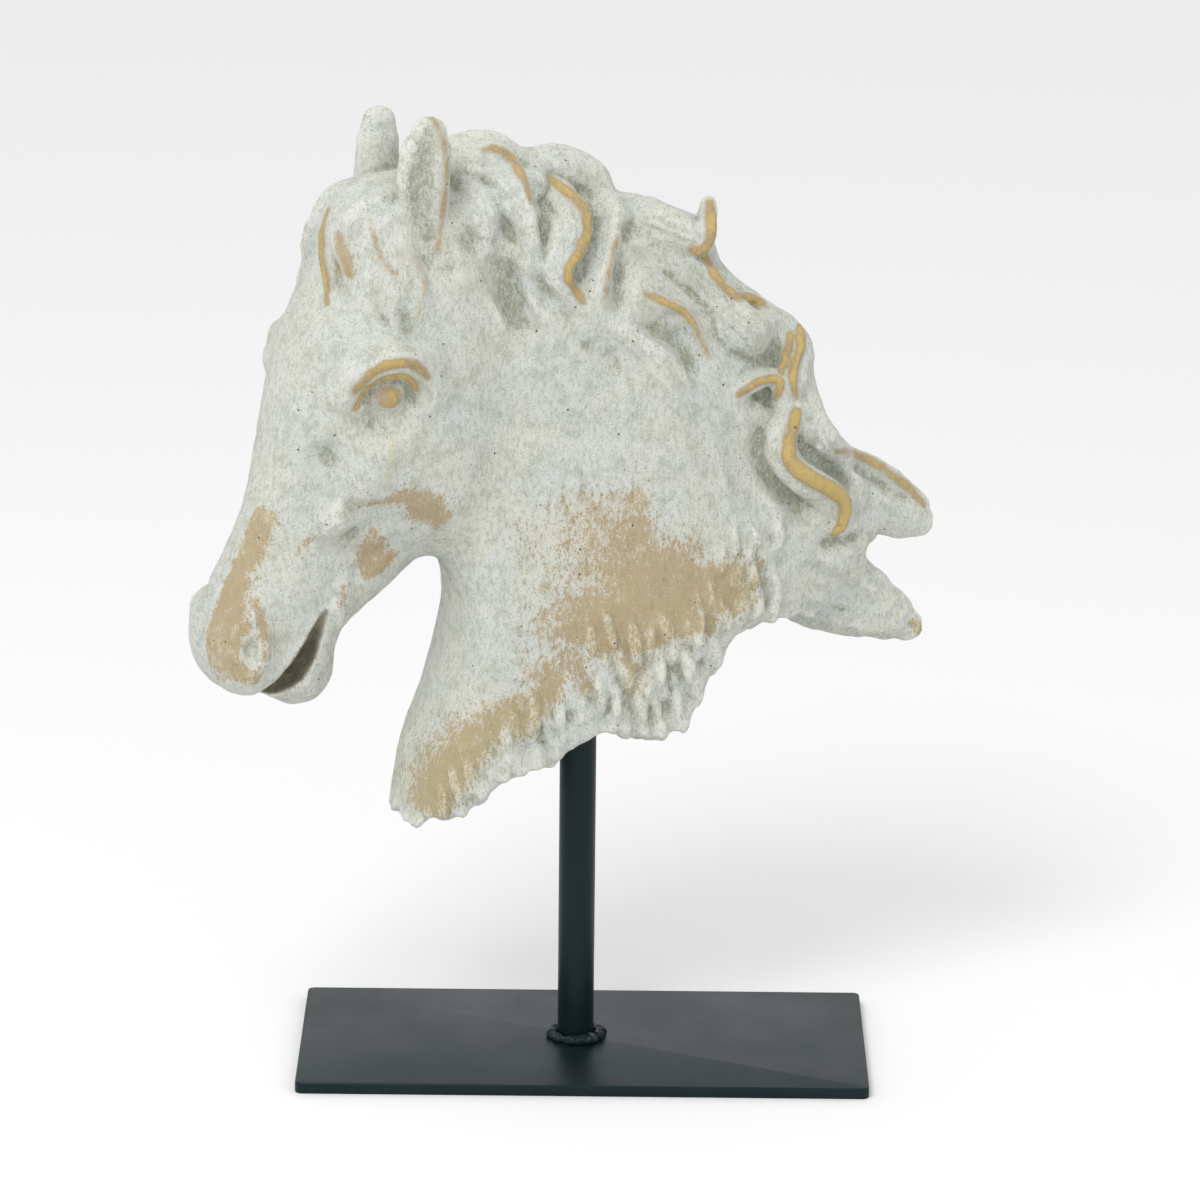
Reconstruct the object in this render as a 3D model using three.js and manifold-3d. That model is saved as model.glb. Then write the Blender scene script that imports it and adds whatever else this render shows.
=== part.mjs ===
// A horse's head and neck cast in a pale mineral compound, broken off below like an old fragment and
// held up by a round steel post that is welded to a flat steel base plate.
// Millimetres, +Z up. The origin is the centre of the base plate's underside, +X runs along the plate
// towards the mane, and the horse looks towards -X with its face turned to -Y.
import * as THREE from 'three';
import { mergeVertices } from 'three/addons/utils/BufferGeometryUtils.js';
import Module from 'manifold-3d';

const wasm = await Module();
wasm.setup();

// Steel stand
const PLATE_LENGTH = 250;
const PLATE_DEPTH = 120;
const PLATE_THICKNESS = 5;
const PLATE_CORNER_RADIUS = 3;
const PLATE_EDGE_BREAK = 0.5;
const POST_DIAMETER = 16;
const POST_REACH = 150; // from the plate's top to the break in the neck
const POST_OFF_CENTRE = [-3.3, 2]; // the post is welded on a little off the plate's centre
const WELD_LEG = 4;
const WELD_WAVINESS = 0.35; // the bead's leg swells and shrinks by this share of itself
const TOUCHING_GAP = 0.3; // between pieces that meet
const ROUND_SIDES = 32; // of the post, its socket and the bead

// Cast horse
const HORSE_HEIGHT = 318; // from the neck's lowest point to the tip of the ears
const SOCKET_DEPTH = 34; // how far the post goes up into the neck
const SOCKET_CLEARANCE = 0.3; // around and above the post
const CUTTER_START = 30; // the socket's cutter starts this far below the break
const NECK_TURN = 10; // degrees from the plate's length, the neck's plane
const HEAD_TURN = 18; // degrees more, the head's plane against the neck's

// The horse's form is modelled on a sculptor's grid: x along the neck's plane, y across it and z up.
// One unit is a millimetre when the horse is GRID_HEIGHT tall, and the post enters at GRID_ENTRY.
const GRID_HEIGHT = 318;
const GRID_ENTRY = [-1.3, 0, 155];
const HEAD_PIVOT = -55; // the upright line in the neck's plane that the head turns about
const MODEL_CELL = 3; // spacing of the modelling grid
const MODEL_REACH = 60; // half the thickness of the space that a body may fill
const PRESS_REACH = 75; // how far out a drawn line starts on its way to the clay
const HORSE_TRIANGLES = 8900;

const COLOUR = { plaster: 0xdfded2, blackSteel: 0x4a5254 };

// Small helpers for soft shapes
const clamp = (v, low, high) => Math.min(high, Math.max(low, v));
const mix = (a, b, t) => a + (b - a) * t;
const ease = (low, high, v) => {
  const t = clamp((v - low) / (high - low), 0, 1);
  return t * t * (3 - 2 * t);
};
const radians = THREE.MathUtils.degToRad;

// Value at v of a smooth line through [position, value] pairs.
function along(pairs, v) {
  let i = 0;
  while (i < pairs.length - 2 && v > pairs[i + 1][0]) i++;
  const [p, a] = pairs[i];
  const [q, b] = pairs[i + 1];
  return mix(a, b, ease(p, q, v));
}

// A soft body with a drawn profile in the x-z plane and a swelling thickness across it.
// halfWidth(x, z) is how thick its sides are and rim(x, z) how far in from the profile they reach that.
class Trunk {
  constructor(outline, halfWidth, rim) {
    const curve = new THREE.SplineCurve([...outline, outline[0]].map(([x, z]) => new THREE.Vector2(x, z)));
    this.line = curve.getPoints(outline.length * 5).slice(0, -1);
    this.halfWidth = halfWidth;
    this.rim = rim;
    const xs = this.line.map((p) => p.x);
    const zs = this.line.map((p) => p.y);
    this.low = [Math.min(...xs), -MODEL_REACH, Math.min(...zs)];
    this.high = [Math.max(...xs), MODEL_REACH, Math.max(...zs)];
  }

  // How far a point of the x-z plane lies inside the profile; negative outside it.
  depth(x, z) {
    const line = this.line;
    let near = Infinity;
    let inside = false;
    for (let i = 0, j = line.length - 1; i < line.length; j = i++) {
      const a = line[i];
      const b = line[j];
      const ex = b.x - a.x;
      const ez = b.y - a.y;
      const t = clamp(((x - a.x) * ex + (z - a.y) * ez) / (ex * ex + ez * ez), 0, 1);
      near = Math.min(near, Math.hypot(x - a.x - t * ex, z - a.y - t * ez));
      if (a.y > z !== b.y > z && x < a.x + ((z - a.y) / ez) * ex) inside = !inside;
    }
    return inside ? near : -near;
  }

  // How thick half of the body is at a point of its profile.
  side(x, z) {
    const q = clamp(1 - this.depth(x, z) / this.rim(x, z), 0, 1);
    return this.halfWidth(x, z) * Math.sqrt(1 - q * q);
  }

  distance(x, y, z) {
    const rim = this.rim(x, z);
    const width = this.halfWidth(x, z);
    const q = Math.max(0, 1 - this.depth(x, z) / rim);
    return (Math.hypot(y / width, q) - 1) * Math.min(rim, width);
  }
}

// An ellipsoid, leaning by tilt degrees in the x-z plane. With twins it is made on both sides.
function lump([x0, y0, z0], [rx, ry, rz], { tilt = 0, twins = true } = {}) {
  const c = Math.cos(radians(tilt));
  const s = Math.sin(radians(tilt));
  const reach = Math.max(rx, rz);
  const span = Math.abs(y0) + ry;
  return {
    low: [x0 - reach, twins ? -span : y0 - ry, z0 - reach],
    high: [x0 + reach, twins ? span : y0 + ry, z0 + reach],
    distance(x, y, z) {
      const dx = (x - x0) * c + (z - z0) * s;
      const dz = (z - z0) * c - (x - x0) * s;
      const dy = (twins ? Math.abs(y) : y) - (twins ? Math.abs(y0) : y0);
      const k = Math.hypot(dx / rx, dy / ry, dz / rz);
      const g = Math.hypot(dx / (rx * rx), dy / (ry * ry), dz / (rz * rz));
      return g < 1e-9 ? -Math.min(rx, ry, rz) : (k * (k - 1)) / g;
    },
  };
}

// A rolled strip of clay through stations [x, y, z, radius], flattened across y by flat.
function roll(stations, { flat = 1, twins = false } = {}) {
  const most = Math.max(...stations.map((s) => s[3] * Math.max(1, flat)));
  const column = (k) => stations.map((s) => s[k]);
  const ySpan = Math.max(...column(1).map(Math.abs)) + most;
  const low = [0, 1, 2].map((k) => Math.min(...column(k)) - most);
  const high = [0, 1, 2].map((k) => Math.max(...column(k)) + most);
  if (twins) [low[1], high[1]] = [-ySpan, ySpan];
  return {
    low,
    high,
    distance(x, yIn, z) {
      const y = twins ? Math.abs(yIn) : yIn;
      let best = Infinity;
      for (let i = 0; i + 1 < stations.length; i++) {
        const [ax, ay, az, ar] = stations[i];
        const [bx, by, bz, br] = stations[i + 1];
        const ex = bx - ax;
        const ey = by - ay;
        const ez = bz - az;
        const run = (x - ax) * ex + (y - ay) * ey + (z - az) * ez;
        const t = clamp(run / (ex * ex + ey * ey + ez * ez), 0, 1);
        const r = mix(ar, br, t);
        const k = Math.hypot(x - ax - t * ex, (y - ay - t * ey) / flat, z - az - t * ez) / r;
        best = Math.min(best, (k - 1) * r * Math.min(1, flat));
      }
      return best;
    },
  };
}

// The same shape in a plane turned by degrees about the upright line x = pivot.
function turned(shape, degrees, pivot) {
  const c = Math.cos(radians(degrees));
  const s = Math.sin(radians(degrees));
  const corners = [shape.low, shape.high].flatMap((a) => [shape.low, shape.high].map((b) => {
    const x = a[0] - pivot;
    return [pivot + x * c - b[1] * s, x * s + b[1] * c];
  }));
  return {
    low: [Math.min(...corners.map((p) => p[0])), Math.min(...corners.map((p) => p[1])), shape.low[2]],
    high: [Math.max(...corners.map((p) => p[0])), Math.max(...corners.map((p) => p[1])), shape.high[2]],
    distance(x, y, z) {
      return shape.distance(pivot + (x - pivot) * c + y * s, y * c - (x - pivot) * s, z);
    },
  };
}

// The six tetrahedra of a cube run along its edges from corner to corner; their edges take these steps.
const TETRAHEDRON_STEPS = [[1, 0, 0], [0, 1, 0], [0, 0, 1], [1, 1, 0], [1, 0, 1], [0, 1, 1], [1, 1, 1]];
const TETRAHEDRON_ORDERS = [[0, 1, 2], [1, 2, 0], [2, 0, 1], [0, 2, 1], [2, 1, 0], [1, 0, 2]]
  .map((axes, i) => ({ axes, mirrored: i > 2 }));
// The ways to name a tetrahedron's four corners that keep its handedness.
const EVEN_ORDERS = [0, 1, 2, 3].flatMap((a) => [0, 1, 2, 3].flatMap((b) => [0, 1, 2, 3].flatMap((c) => {
  const order = [a, b, c, 6 - a - b - c];
  if (new Set(order).size < 4 || order[3] < 0 || order[3] > 3) return [];
  const swaps = order.flatMap((p, i) => order.slice(i + 1).filter((q) => q < p)).length;
  return swaps % 2 === 0 ? [order] : [];
})));

// A block of modelling clay on a grid of nodes: each node holds about how far it lies outside the form.
class Clay {
  constructor(low, high, cell) {
    this.low = low;
    this.cell = cell;
    this.count = low.map((v, axis) => Math.ceil((high[axis] - v) / cell) + 1);
    this.nodes = new Float32Array(this.count[0] * this.count[1] * this.count[2]).fill(cell * 20);
  }

  // Calls change(value, distance to the shape, x, y, z) for each node near the shape.
  work(shape, margin, change) {
    const { low, cell, count, nodes } = this;
    const first = low.map((v, axis) => Math.max(0, Math.floor((shape.low[axis] - margin - v) / cell)));
    const last = low.map((v, axis) =>
      Math.min(count[axis] - 1, Math.ceil((shape.high[axis] + margin - v) / cell)));
    for (let i = first[0]; i <= last[0]; i++) {
      for (let j = first[1]; j <= last[1]; j++) {
        for (let k = first[2]; k <= last[2]; k++) {
          const x = low[0] + i * cell;
          const y = low[1] + j * cell;
          const z = low[2] + k * cell;
          const node = (i * count[1] + j) * count[2] + k;
          nodes[node] = change(nodes[node], shape.distance(x, y, z), x, y, z);
        }
      }
    }
  }

  // Presses a shape on, with the seam smoothed over the length soft.
  add(shape, soft) {
    this.work(shape, soft + 2 * this.cell, (a, b) => {
      const h = Math.max(0, 1 - Math.abs(a - b) / soft);
      return Math.min(a, b) - (h * h * soft) / 4;
    });
  }

  // Cuts a shape away, with the edge smoothed over the length soft.
  carve(shape, soft) {
    this.work(shape, soft + 2 * this.cell, (a, b) => {
      const h = Math.max(0, 1 - Math.abs(a + b) / soft);
      return Math.max(a, -b) + (h * h * soft) / 4;
    });
  }

  // The value at any place in the block, between its nodes.
  read(...place) {
    const at = place.map((v, axis) =>
      clamp((v - this.low[axis]) / this.cell, 0, this.count[axis] - 1.001));
    const base = at.map(Math.floor);
    let value = 0;
    for (let corner = 0; corner < 8; corner++) {
      const step = [corner & 1, (corner >> 1) & 1, corner >> 2];
      const share = step.map((s, axis) => (s ? at[axis] - base[axis] : 1 - at[axis] + base[axis]));
      const [i, j, k] = step.map((s, axis) => base[axis] + s);
      value += share[0] * share[1] * share[2] * this.nodes[(i * this.count[1] + j) * this.count[2] + k];
    }
    return value;
  }

  // Where the clay's skin is met when points are pressed through it from outside. A point that
  // misses the clay goes as far as the last one that met it.
  skin(points, press) {
    const step = this.cell / 2;
    let last = 0;
    return points.map(([x, y, z]) => {
      let before = Infinity;
      for (let go = -PRESS_REACH; go < PRESS_REACH; go += step) {
        const depth = this.read(x + press[0] * go, y + press[1] * go, z + press[2] * go);
        if (depth < 0 && go > -PRESS_REACH) {
          last = go - (step * depth) / (depth - before);
          break;
        }
        before = depth;
      }
      return [x + press[0] * last, y + press[1] * last, z + press[2] * last];
    });
  }

  // The closed surface. Each grid cube is cut into six tetrahedra along its diagonal, and each
  // tetrahedron gives one or two triangles between its corners inside and outside.
  surface() {
    const { low, cell, count, nodes } = this;
    const step = [count[1] * count[2], count[2], 1];
    const points = [];
    const faces = [];
    const seen = new Map();
    const edges = TETRAHEDRON_STEPS.map(([dx, dy, dz]) => dx * step[0] + dy * step[1] + dz * step[2]);
    const place = (node, axis) => low[axis] + (Math.floor(node / step[axis]) % count[axis]) * cell;
    const crossing = (a, b) => {
      const from = Math.min(a, b);
      const to = Math.max(a, b);
      const key = from * 8 + edges.indexOf(to - from);
      if (!seen.has(key)) {
        const t = clamp(nodes[from] / (nodes[from] - nodes[to]), 0.04, 0.96);
        seen.set(key, points.length);
        points.push([0, 1, 2].map((axis) => mix(place(from, axis), place(to, axis), t)));
      }
      return seen.get(key);
    };
    const corner = [0, 0, 0, 0];
    for (let i = 0; i + 1 < count[0]; i++) {
      for (let j = 0; j + 1 < count[1]; j++) {
        for (let k = 0; k + 1 < count[2]; k++) {
          const base = i * step[0] + j * step[1] + k;
          const inside = nodes[base] < 0;
          let mixed = false;
          for (const edge of edges) if (nodes[base + edge] < 0 !== inside) mixed = true;
          if (!mixed) continue;
          for (const order of TETRAHEDRON_ORDERS) {
            corner[0] = base;
            for (let c = 0; c < 3; c++) corner[c + 1] = corner[c] + step[order.axes[c]];
            const t = order.mirrored ? [corner[0], corner[2], corner[1], corner[3]] : corner;
            const within = t.map((node) => nodes[node] < 0);
            const total = within.filter(Boolean).length;
            if (total === 0 || total === 4) continue;
            const outside = total === 3;
            const turn = EVEN_ORDERS.find((o) =>
              o.slice(0, outside ? 1 : total).every((c) => within[c] !== outside));
            const [a, b, c, d] = turn.map((v) => t[v]);
            if (total === 1) faces.push([crossing(a, b), crossing(a, c), crossing(a, d)]);
            if (total === 3) faces.push([crossing(a, c), crossing(a, b), crossing(a, d)]);
            if (total === 2) {
              faces.push([crossing(a, c), crossing(a, d), crossing(b, d)]);
              faces.push([crossing(a, c), crossing(b, d), crossing(b, c)]);
            }
          }
        }
      }
    }
    return { points, faces };
  }
}

// Wipes a mesh with a wet sponge: each point moves half way to the middle of its neighbours.
function sponge({ points, faces }, passes) {
  for (let pass = 0; pass < passes; pass++) {
    const sums = points.map(() => [0, 0, 0, 0]);
    for (const face of faces) {
      face.forEach((v, i) => {
        const next = points[face[(i + 1) % 3]];
        for (let axis = 0; axis < 3; axis++) sums[v][axis] += next[axis];
        sums[v][3]++;
      });
    }
    points.forEach((p, v) => {
      for (let axis = 0; axis < 3; axis++) p[axis] = mix(p[axis], sums[v][axis] / sums[v][3], 0.5);
    });
  }
  return { points, faces };
}

// The neck, without its mane, down to below the break.
const neck = new Trunk(
  [[-64, 236], [-61, 215], [-63, 197], [-70, 170], [-78, 147], [-82, 126], [-83, 104], [-60, 93], [0, 105],
    [60, 125], [96, 170], [109, 192], [122, 212], [126, 234], [112, 258], [101, 284], [88, 310], [72, 327],
    [53, 345], [20, 373], [-20, 391], [-56, 394], [-78, 370], [-82, 320], [-76, 270]],
  (x, z) => along([[100, 43], [200, 39], [300, 33], [400, 24]], z)
    * along([[20, 1], [110, 0.5], [130, 0.42]], x),
  (x) => along([[-70, 17], [-20, 26], [60, 46]], x),
);

// The head, in its own plane.
const HEAD_AXIS = { top: [-80, 395], lean: 20.5 };
const head = new Trunk(
  [[-75, 402], [-97, 400], [-112, 390], [-118, 373], [-126.5, 351], [-137, 330], [-143, 308], [-148, 286],
    [-154, 266], [-162, 246], [-170, 231], [-173, 219], [-175, 204], [-172, 191], [-163, 183], [-152, 181],
    [-144, 178], [-135, 174], [-125, 178], [-118, 190], [-114, 204], [-104, 213], [-91, 222], [-79, 231],
    [-66, 238], [-54, 254], [-48, 300], [-52, 350], [-58, 385]],
  (x, z) => {
    const down = (HEAD_AXIS.top[0] - x) * Math.sin(radians(HEAD_AXIS.lean))
      + (HEAD_AXIS.top[1] - z) * Math.cos(radians(HEAD_AXIS.lean));
    return along([[0, 26], [60, 36], [100, 32], [150, 22], [190, 23], [225, 20]], down);
  },
  () => 24,
);

const inHead = (shape) => turned(shape, HEAD_TURN, HEAD_PIVOT);

// Points between [x, y, z, radius] stations, on a smooth curve through them.
function smooth(stations, steps) {
  const curve = (axes) => new THREE.CatmullRomCurve3(
    stations.map((s) => new THREE.Vector3(...axes.map((axis) => s[axis]))), false, 'catmullrom');
  const count = (stations.length - 1) * steps;
  const places = curve([0, 1, 2]).getPoints(count);
  const radii = curve([3, 3, 3]).getPoints(count);
  return places.map((p, i) => [p.x, p.y, p.z, radii[i].x]);
}

// A thick lock of hair along stations [x, z, radius] that lies on one side of a body.
function lock(body, stations, side) {
  const line = smooth(stations.map(([x, z, r]) => [x, 0, z, r]), 4);
  return roll(line.map(([x, , z, r]) => [x, side * (body.side(x, z) + 0.1 * r), z, r]), { flat: 0.8 });
}

// Lays relief on the clay. Lines are drawn in a plane, as [x, z, radius] or [x, y, z, radius] stations,
// and pressed onto the clay from one side.
class Modeller {
  constructor(clay, side, { head = false, front = 0, drop = 0, strength = 1 } = {}) {
    Object.assign(this, { clay, side, drop, strength });
    this.turn = head ? radians(HEAD_TURN) : 0;
    this.press = [...this.swing(Math.sin(radians(front)), -side * Math.cos(radians(front))), 0];
  }

  // A direction in the drawing's plane as one in the neck's.
  swing(x, y) {
    const c = Math.cos(this.turn);
    const s = Math.sin(this.turn);
    return [x * c - y * s, x * s + y * c];
  }

  // A strip under the drawn line whose middle stands out from the skin by out(radius).
  strip(stations, out) {
    const line = smooth(stations.map((p) => (p.length === 3 ? [p[0], 0, p[1], p[2]] : p)), 3);
    const placed = line.map(([x, y, z]) => {
      const [dx, dy] = this.swing(x - HEAD_PIVOT, -this.side * y);
      return [HEAD_PIVOT + dx, dy, z + this.drop];
    });
    return roll(this.clay.skin(placed, this.press).map((p, i) => {
      const r = Math.max(line[i][3], this.clay.cell * 0.6);
      return [...p.map((v, axis) => v - this.press[axis] * out(r)), r];
    }));
  }

  // A raised fold that stands out by height.
  fold(stations, height, soft = 4) {
    this.clay.add(this.strip(stations, (r) => height * this.strength - r), soft);
  }

  // A rounded valley that is sunk by depth.
  valley(stations, depth, soft = 5) {
    this.clay.carve(this.strip(stations, (r) => r - depth * this.strength), soft);
  }
}

// The face: cheeks, brows, eyes, muzzle, nostrils, mouth and chin.
function modelFace(clay) {
  const add = (shape, soft) => clay.add(inHead(shape), soft);
  const carve = (shape, soft) => clay.carve(inHead(shape), soft);
  add(lump([-93, 17, 282], [34, 21, 34]), 14);
  add(lump([-162, 11, 204], [13.5, 14, 19], { tilt: 10 }), 8);
  add(lump([-131, 0, 188], [13, 14, 12]), 6);
  add(roll([[-98, 33, 300, 5], [-112, 32, 282, 5], [-127, 26, 260, 4]], { twins: true }), 12);
  add(lump([-162, 19, 212], [8, 8, 12]), 5);
  carve(roll([[-132, 29, 288, 4], [-142, 26, 262, 4], [-151, 25, 238, 3]], { twins: true }), 10);
  carve(roll([[-120, 34, 266, 3], [-104, 37, 260, 3.5], [-88, 38, 251, 3]], { twins: true }), 7);
  add(roll([[-130, 35, 317, 5], [-122, 39, 327, 6], [-106, 40, 331, 6], [-93, 38, 326, 5], [-87, 36, 316, 4]],
    { twins: true }), 14);
  carve(lump([-107, 46, 315], [15, 8, 9]), 7);
  add(lump([-107, 33, 316], [8.5, 9.5, 7.5]), 2);
  carve(lump([-165, 26, 208], [3.6, 5, 7.5], { tilt: 8 }), 1.5);
  carve(roll([[-127, 25, 217, 1.5], [-134, 23, 209, 3.6], [-142, 20, 198, 4.6], [-151, 12, 189, 4.6],
    [-160, 2, 183, 3]], { flat: 2.2, twins: true }), 2);
  for (const side of [-1, 1]) {
    const m = new Modeller(clay, side, { head: true });
    m.fold([[-125, 322, 2.4], [-117, 332, 3], [-108, 333, 3.2], [-98, 331, 3.2], [-89, 322, 2]], 1.8, 3);
    m.valley([[-120, 322, 1.2], [-113, 328, 1.8], [-104, 328, 1.8], [-94, 324, 1.2]], 1.5, 2);
    m.fold([[-118, 316, 1], [-114, 322, 1.6], [-107, 324.5, 1.8], [-99, 323, 1.8], [-94, 317, 1]], 1.2, 1.5);
    m.fold([[-158, 218, 1.6], [-158.5, 208, 2], [-161, 200, 2], [-166, 197, 1.6]], 1.1, 3);
    m.fold([[-136, 214, 2], [-145, 202, 2.4], [-154, 194, 2.4], [-162, 190, 2]], 0.9, 4);
  }
}

// The two ears. The near one is a leaf with a hollow.
function modelEars(clay) {
  const near = roll([[-79, -21, 374, 9], [-83, -22, 388, 12.5], [-85, -24, 402, 13.5], [-84, -25, 413, 12.5],
    [-82.5, -26, 422, 8.5]], { flat: 0.55 });
  const far = roll([[-84, 19, 376, 10], [-84, 20, 395, 10.5], [-83, 21, 410, 9.5], [-82, 22, 418, 7.5]],
    { flat: 0.7 });
  clay.add(inHead(near), 3);
  clay.add(inHead(far), 3);
  const m = new Modeller(clay, -1, { head: true });
  m.valley([[-81, 378, 3.5], [-86, 389, 6.5], [-88, 402, 8], [-87, 413, 7], [-84, 422, 3.5]], 4.2, 1.5);
}

// The forelock parts on the forehead and falls in four locks on each side.
function modelForelock(clay) {
  const middle = new Modeller(clay, -1, { head: true, front: 50 });
  middle.fold([[-108, -4, 392, 4], [-114, -3, 385, 5], [-117, -6, 376, 5], [-120, -12, 366, 4],
    [-123, -16, 354, 2]], 3.2);
  for (const side of [-1, 1]) {
    const m = new Modeller(clay, side, { head: true });
    m.fold([[-92, 393, 4], [-104, 390, 6], [-112, 382, 6], [-113, 370, 5], [-115, 354, 3]], 3);
    m.fold([[-90, 388, 4], [-100, 384, 5.5], [-106, 376, 6], [-108, 364, 5], [-110, 348, 3]], 2.8);
    m.fold([[-86, 382, 4], [-95, 378, 5], [-101, 370, 5.5], [-100, 360, 5], [-101, 347, 3]], 2.6);
    m.fold([[-84, 376, 4], [-92, 371, 5], [-93, 362, 5], [-90, 352, 4], [-93, 342, 2.5]], 2.4);
  }
}

// The mane: thick locks along the crest of the neck, and folds that fall from it down both sides.
function modelMane(clay) {
  const masses = [
    [[[-64, 403, 9], [-46, 407, 9.5], [-35, 401, 9], [-30, 384, 7]], -1],
    [[[-30, 397, 9], [-14, 400, 9.5], [1, 395, 8.5], [4, 389, 8]], 1],
    [[[-64, 400, 9], [-46, 404, 9], [-34, 397, 9]], 1],
    [[[6, 382, 7], [24, 378, 7.5], [40, 372, 7.5], [50, 371, 6], [54, 382, 2.5]], -1],
    [[[6, 378, 7], [24, 374, 7.5], [40, 368, 7.5], [50, 362, 6]], 1],
    [[[46, 366, 7], [53, 353, 6.5], [62, 344, 6], [70, 339, 5.5], [78, 334, 4]], -1],
    [[[46, 362, 7], [53, 350, 6.5], [62, 341, 6], [74, 332, 5]], 1],
    [[[64, 328, 7], [82, 325, 8.5], [90, 315, 8.5], [92, 300, 8.5], [95, 284, 8.5], [98, 268, 8]], -1],
  ];
  for (const [stations, side] of masses) clay.add(lock(neck, stations, side), 4);
  const folds = [
    [[[-62, 380, 5], [-58, 368, 6], [-53, 355, 6], [-45, 342, 5], [-38, 329, 3]], 2.6],
    [[[-28, 360, 5], [-24, 348, 6], [-16, 338, 6], [-8, 329, 5], [1, 316, 3]], 2.2],
    [[[2, 342, 6], [16, 331, 7], [28, 319, 7], [38, 304, 6], [45, 286, 4]], 2.2],
    [[[20, 366, 9], [34, 360, 11], [46, 350, 11], [58, 338, 10], [69, 326, 9], [75, 314, 6]], 4],
    [[[-60, 398, 6], [-51, 393, 7], [-47, 382, 7], [-42, 372, 7], [-34, 365, 6], [-31, 354, 5],
      [-27, 341, 3]], 3.5],
    [[[2, 388, 7], [5, 376, 8], [0, 364, 7], [-3, 352, 6], [0, 339, 4]], 3],
    [[[-64, 402, 8], [-53, 403, 10], [-43, 400, 10], [-35, 392, 8], [-31, 380, 6], [-28, 368, 5],
      [-27, 356, 3]], 4.5],
    [[[-27, 394, 8], [-16, 389, 9], [-11, 379, 9], [-15, 368, 7], [-18, 358, 6], [-13, 347, 5],
      [-6, 340, 3]], 4.5],
    [[[8, 379, 8], [25, 377, 9], [38, 372, 8], [47, 369, 6], [52, 375, 4], [53, 382, 2]], 4],
  ];
  const valleys = [
    [[[-66, 372, 2.5], [-56, 378, 3.5], [-53, 366, 3.5], [-46, 352, 3.5], [-38, 338, 2]], 1.6],
    [[[-38, 389, 4], [-39, 375, 5], [-39, 360, 5.5], [-33, 342, 5], [-22, 327, 3.5]], 3.2],
    [[[2, 393, 3], [3, 382, 4], [0, 369, 4], [-6, 359, 4], [-3, 345, 3]], 2.8],
    [[[-24, 341, 4], [-8, 331, 7], [6, 321, 7], [5, 300, 4]], 2],
    [[[14, 366, 4], [11, 354, 4], [11, 341, 3]], 2.2],
    [[[14, 343, 4], [26, 336, 5.5], [37, 329, 5.5], [44, 316, 4], [50, 300, 3]], 3.2],
    [[[50, 312, 4], [59, 278, 4], [71, 244, 3]], 1.5],
    [[[60, 297, 3], [67, 270, 4], [79, 238, 3]], 1.6],
  ];
  const crests = [
    [[[-17, 396, 1.5], [-9, 391, 2.4], [-4, 385, 2.8], [-4, 376, 3], [-8, 369, 3], [-13, 364, 2.4],
      [-12, 356, 2], [-6, 348, 1.4]], 2],
    [[[53, 382, 1.4], [52, 372, 2.2], [48, 364, 2.6], [43, 366, 1.6]], 1.6],
    [[[50, 361, 1.6], [55, 352, 2.2], [62, 345, 2.4], [72, 341, 2.2], [79, 335, 1.6]], 1.8],
    [[[21, 349, 1.4], [32, 344, 2], [40, 339, 2], [45, 331, 1.8], [50, 320, 1]], 1.5],
  ];
  const near = new Modeller(clay, -1, { strength: 1.5 });
  const far = new Modeller(clay, 1, { drop: -6, strength: 1.3 });
  for (const [stations, height] of folds) for (const m of [near, far]) m.fold(stations, height, 3);
  for (const [stations, depth] of valleys) for (const m of [near, far]) m.valley(stations, depth);
  for (const [stations, height] of crests) for (const m of [near, far]) m.fold(stations, height, 2.5);
  modelBackLocks(clay, near, far);
}

// The two thick locks that stand free behind the neck, and the long curling lock above them.
function modelBackLocks(clay, near, far) {
  clay.add(roll([[90, 5, 255, 14], [112, 7, 254, 17], [130, 7, 246, 16.5], [143, 7, 239.5, 12.5],
    [149.5, 7, 235, 8]], { flat: 0.55 }), 6);
  clay.add(roll([[86, 10, 222, 20], [108, 9, 206, 20], [124, 8, 199, 17], [137, 7, 193, 12],
    [146, 7, 187.5, 7.5]], { flat: 0.6 }), 6);
  for (const m of [near, far]) {
    m.fold([[92, 303, 5], [97, 290, 6], [104, 276, 7.5], [112, 263, 8], [117, 250, 7], [117, 240, 4]], 3, 5);
    m.valley([[73, 298, 4], [74, 285, 5], [75, 272, 5], [83, 260, 5], [93, 250, 5], [101, 241, 4]], 3);
    m.fold([[72, 330, 6], [83, 326, 8], [91, 318, 8], [90, 309, 7], [86, 301, 6], [87, 292, 6],
      [83, 282, 6.5], [84, 273, 7], [91, 265, 7.5], [101, 258, 7.5], [109, 250, 7], [111, 242, 5.5],
      [108, 235, 3]], 4.5);
    m.valley([[97, 284, 3], [96, 274, 3], [104, 268, 3.5], [114, 258, 3.5], [118, 247, 3]], 2.5, 3);
    m.fold([[60, 300, 3], [66, 305, 4], [74, 308, 4.5], [81, 306, 4], [80, 298, 3]], 3, 3);
    m.valley([[70, 300, 2], [76, 301, 3], [77, 295, 2]], 2, 2);
    m.fold([[89, 293, 1.8], [86, 282, 2.4], [86, 273, 3], [95, 265, 3.4], [106, 258, 3.4], [113, 250, 3],
      [112, 241, 2.4], [108, 234, 1.6]], 1.8, 3);
  }
}

// The rough tufts above the break, in rows that follow it.
function modelTufts(clay) {
  for (const side of [-1, 1]) {
    const m = new Modeller(clay, side);
    for (let row = 0; row < 3; row++) {
      for (let n = 0; n < 10; n++) {
        const x = -62 + 14 * n + 7 * (row % 2);
        const z = breakHeight(x, 0) + 12 + 14 * row + 4 * Math.sin(2.3 * n + row);
        const length = 8 + 2 * Math.cos(1.7 * n + 2 * row);
        m.fold([[x - 2, z + length, 1.5], [x, z, 3.2], [x + 1, z - length, 1.5]], 1.6, 3);
      }
    }
  }
}

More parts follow.
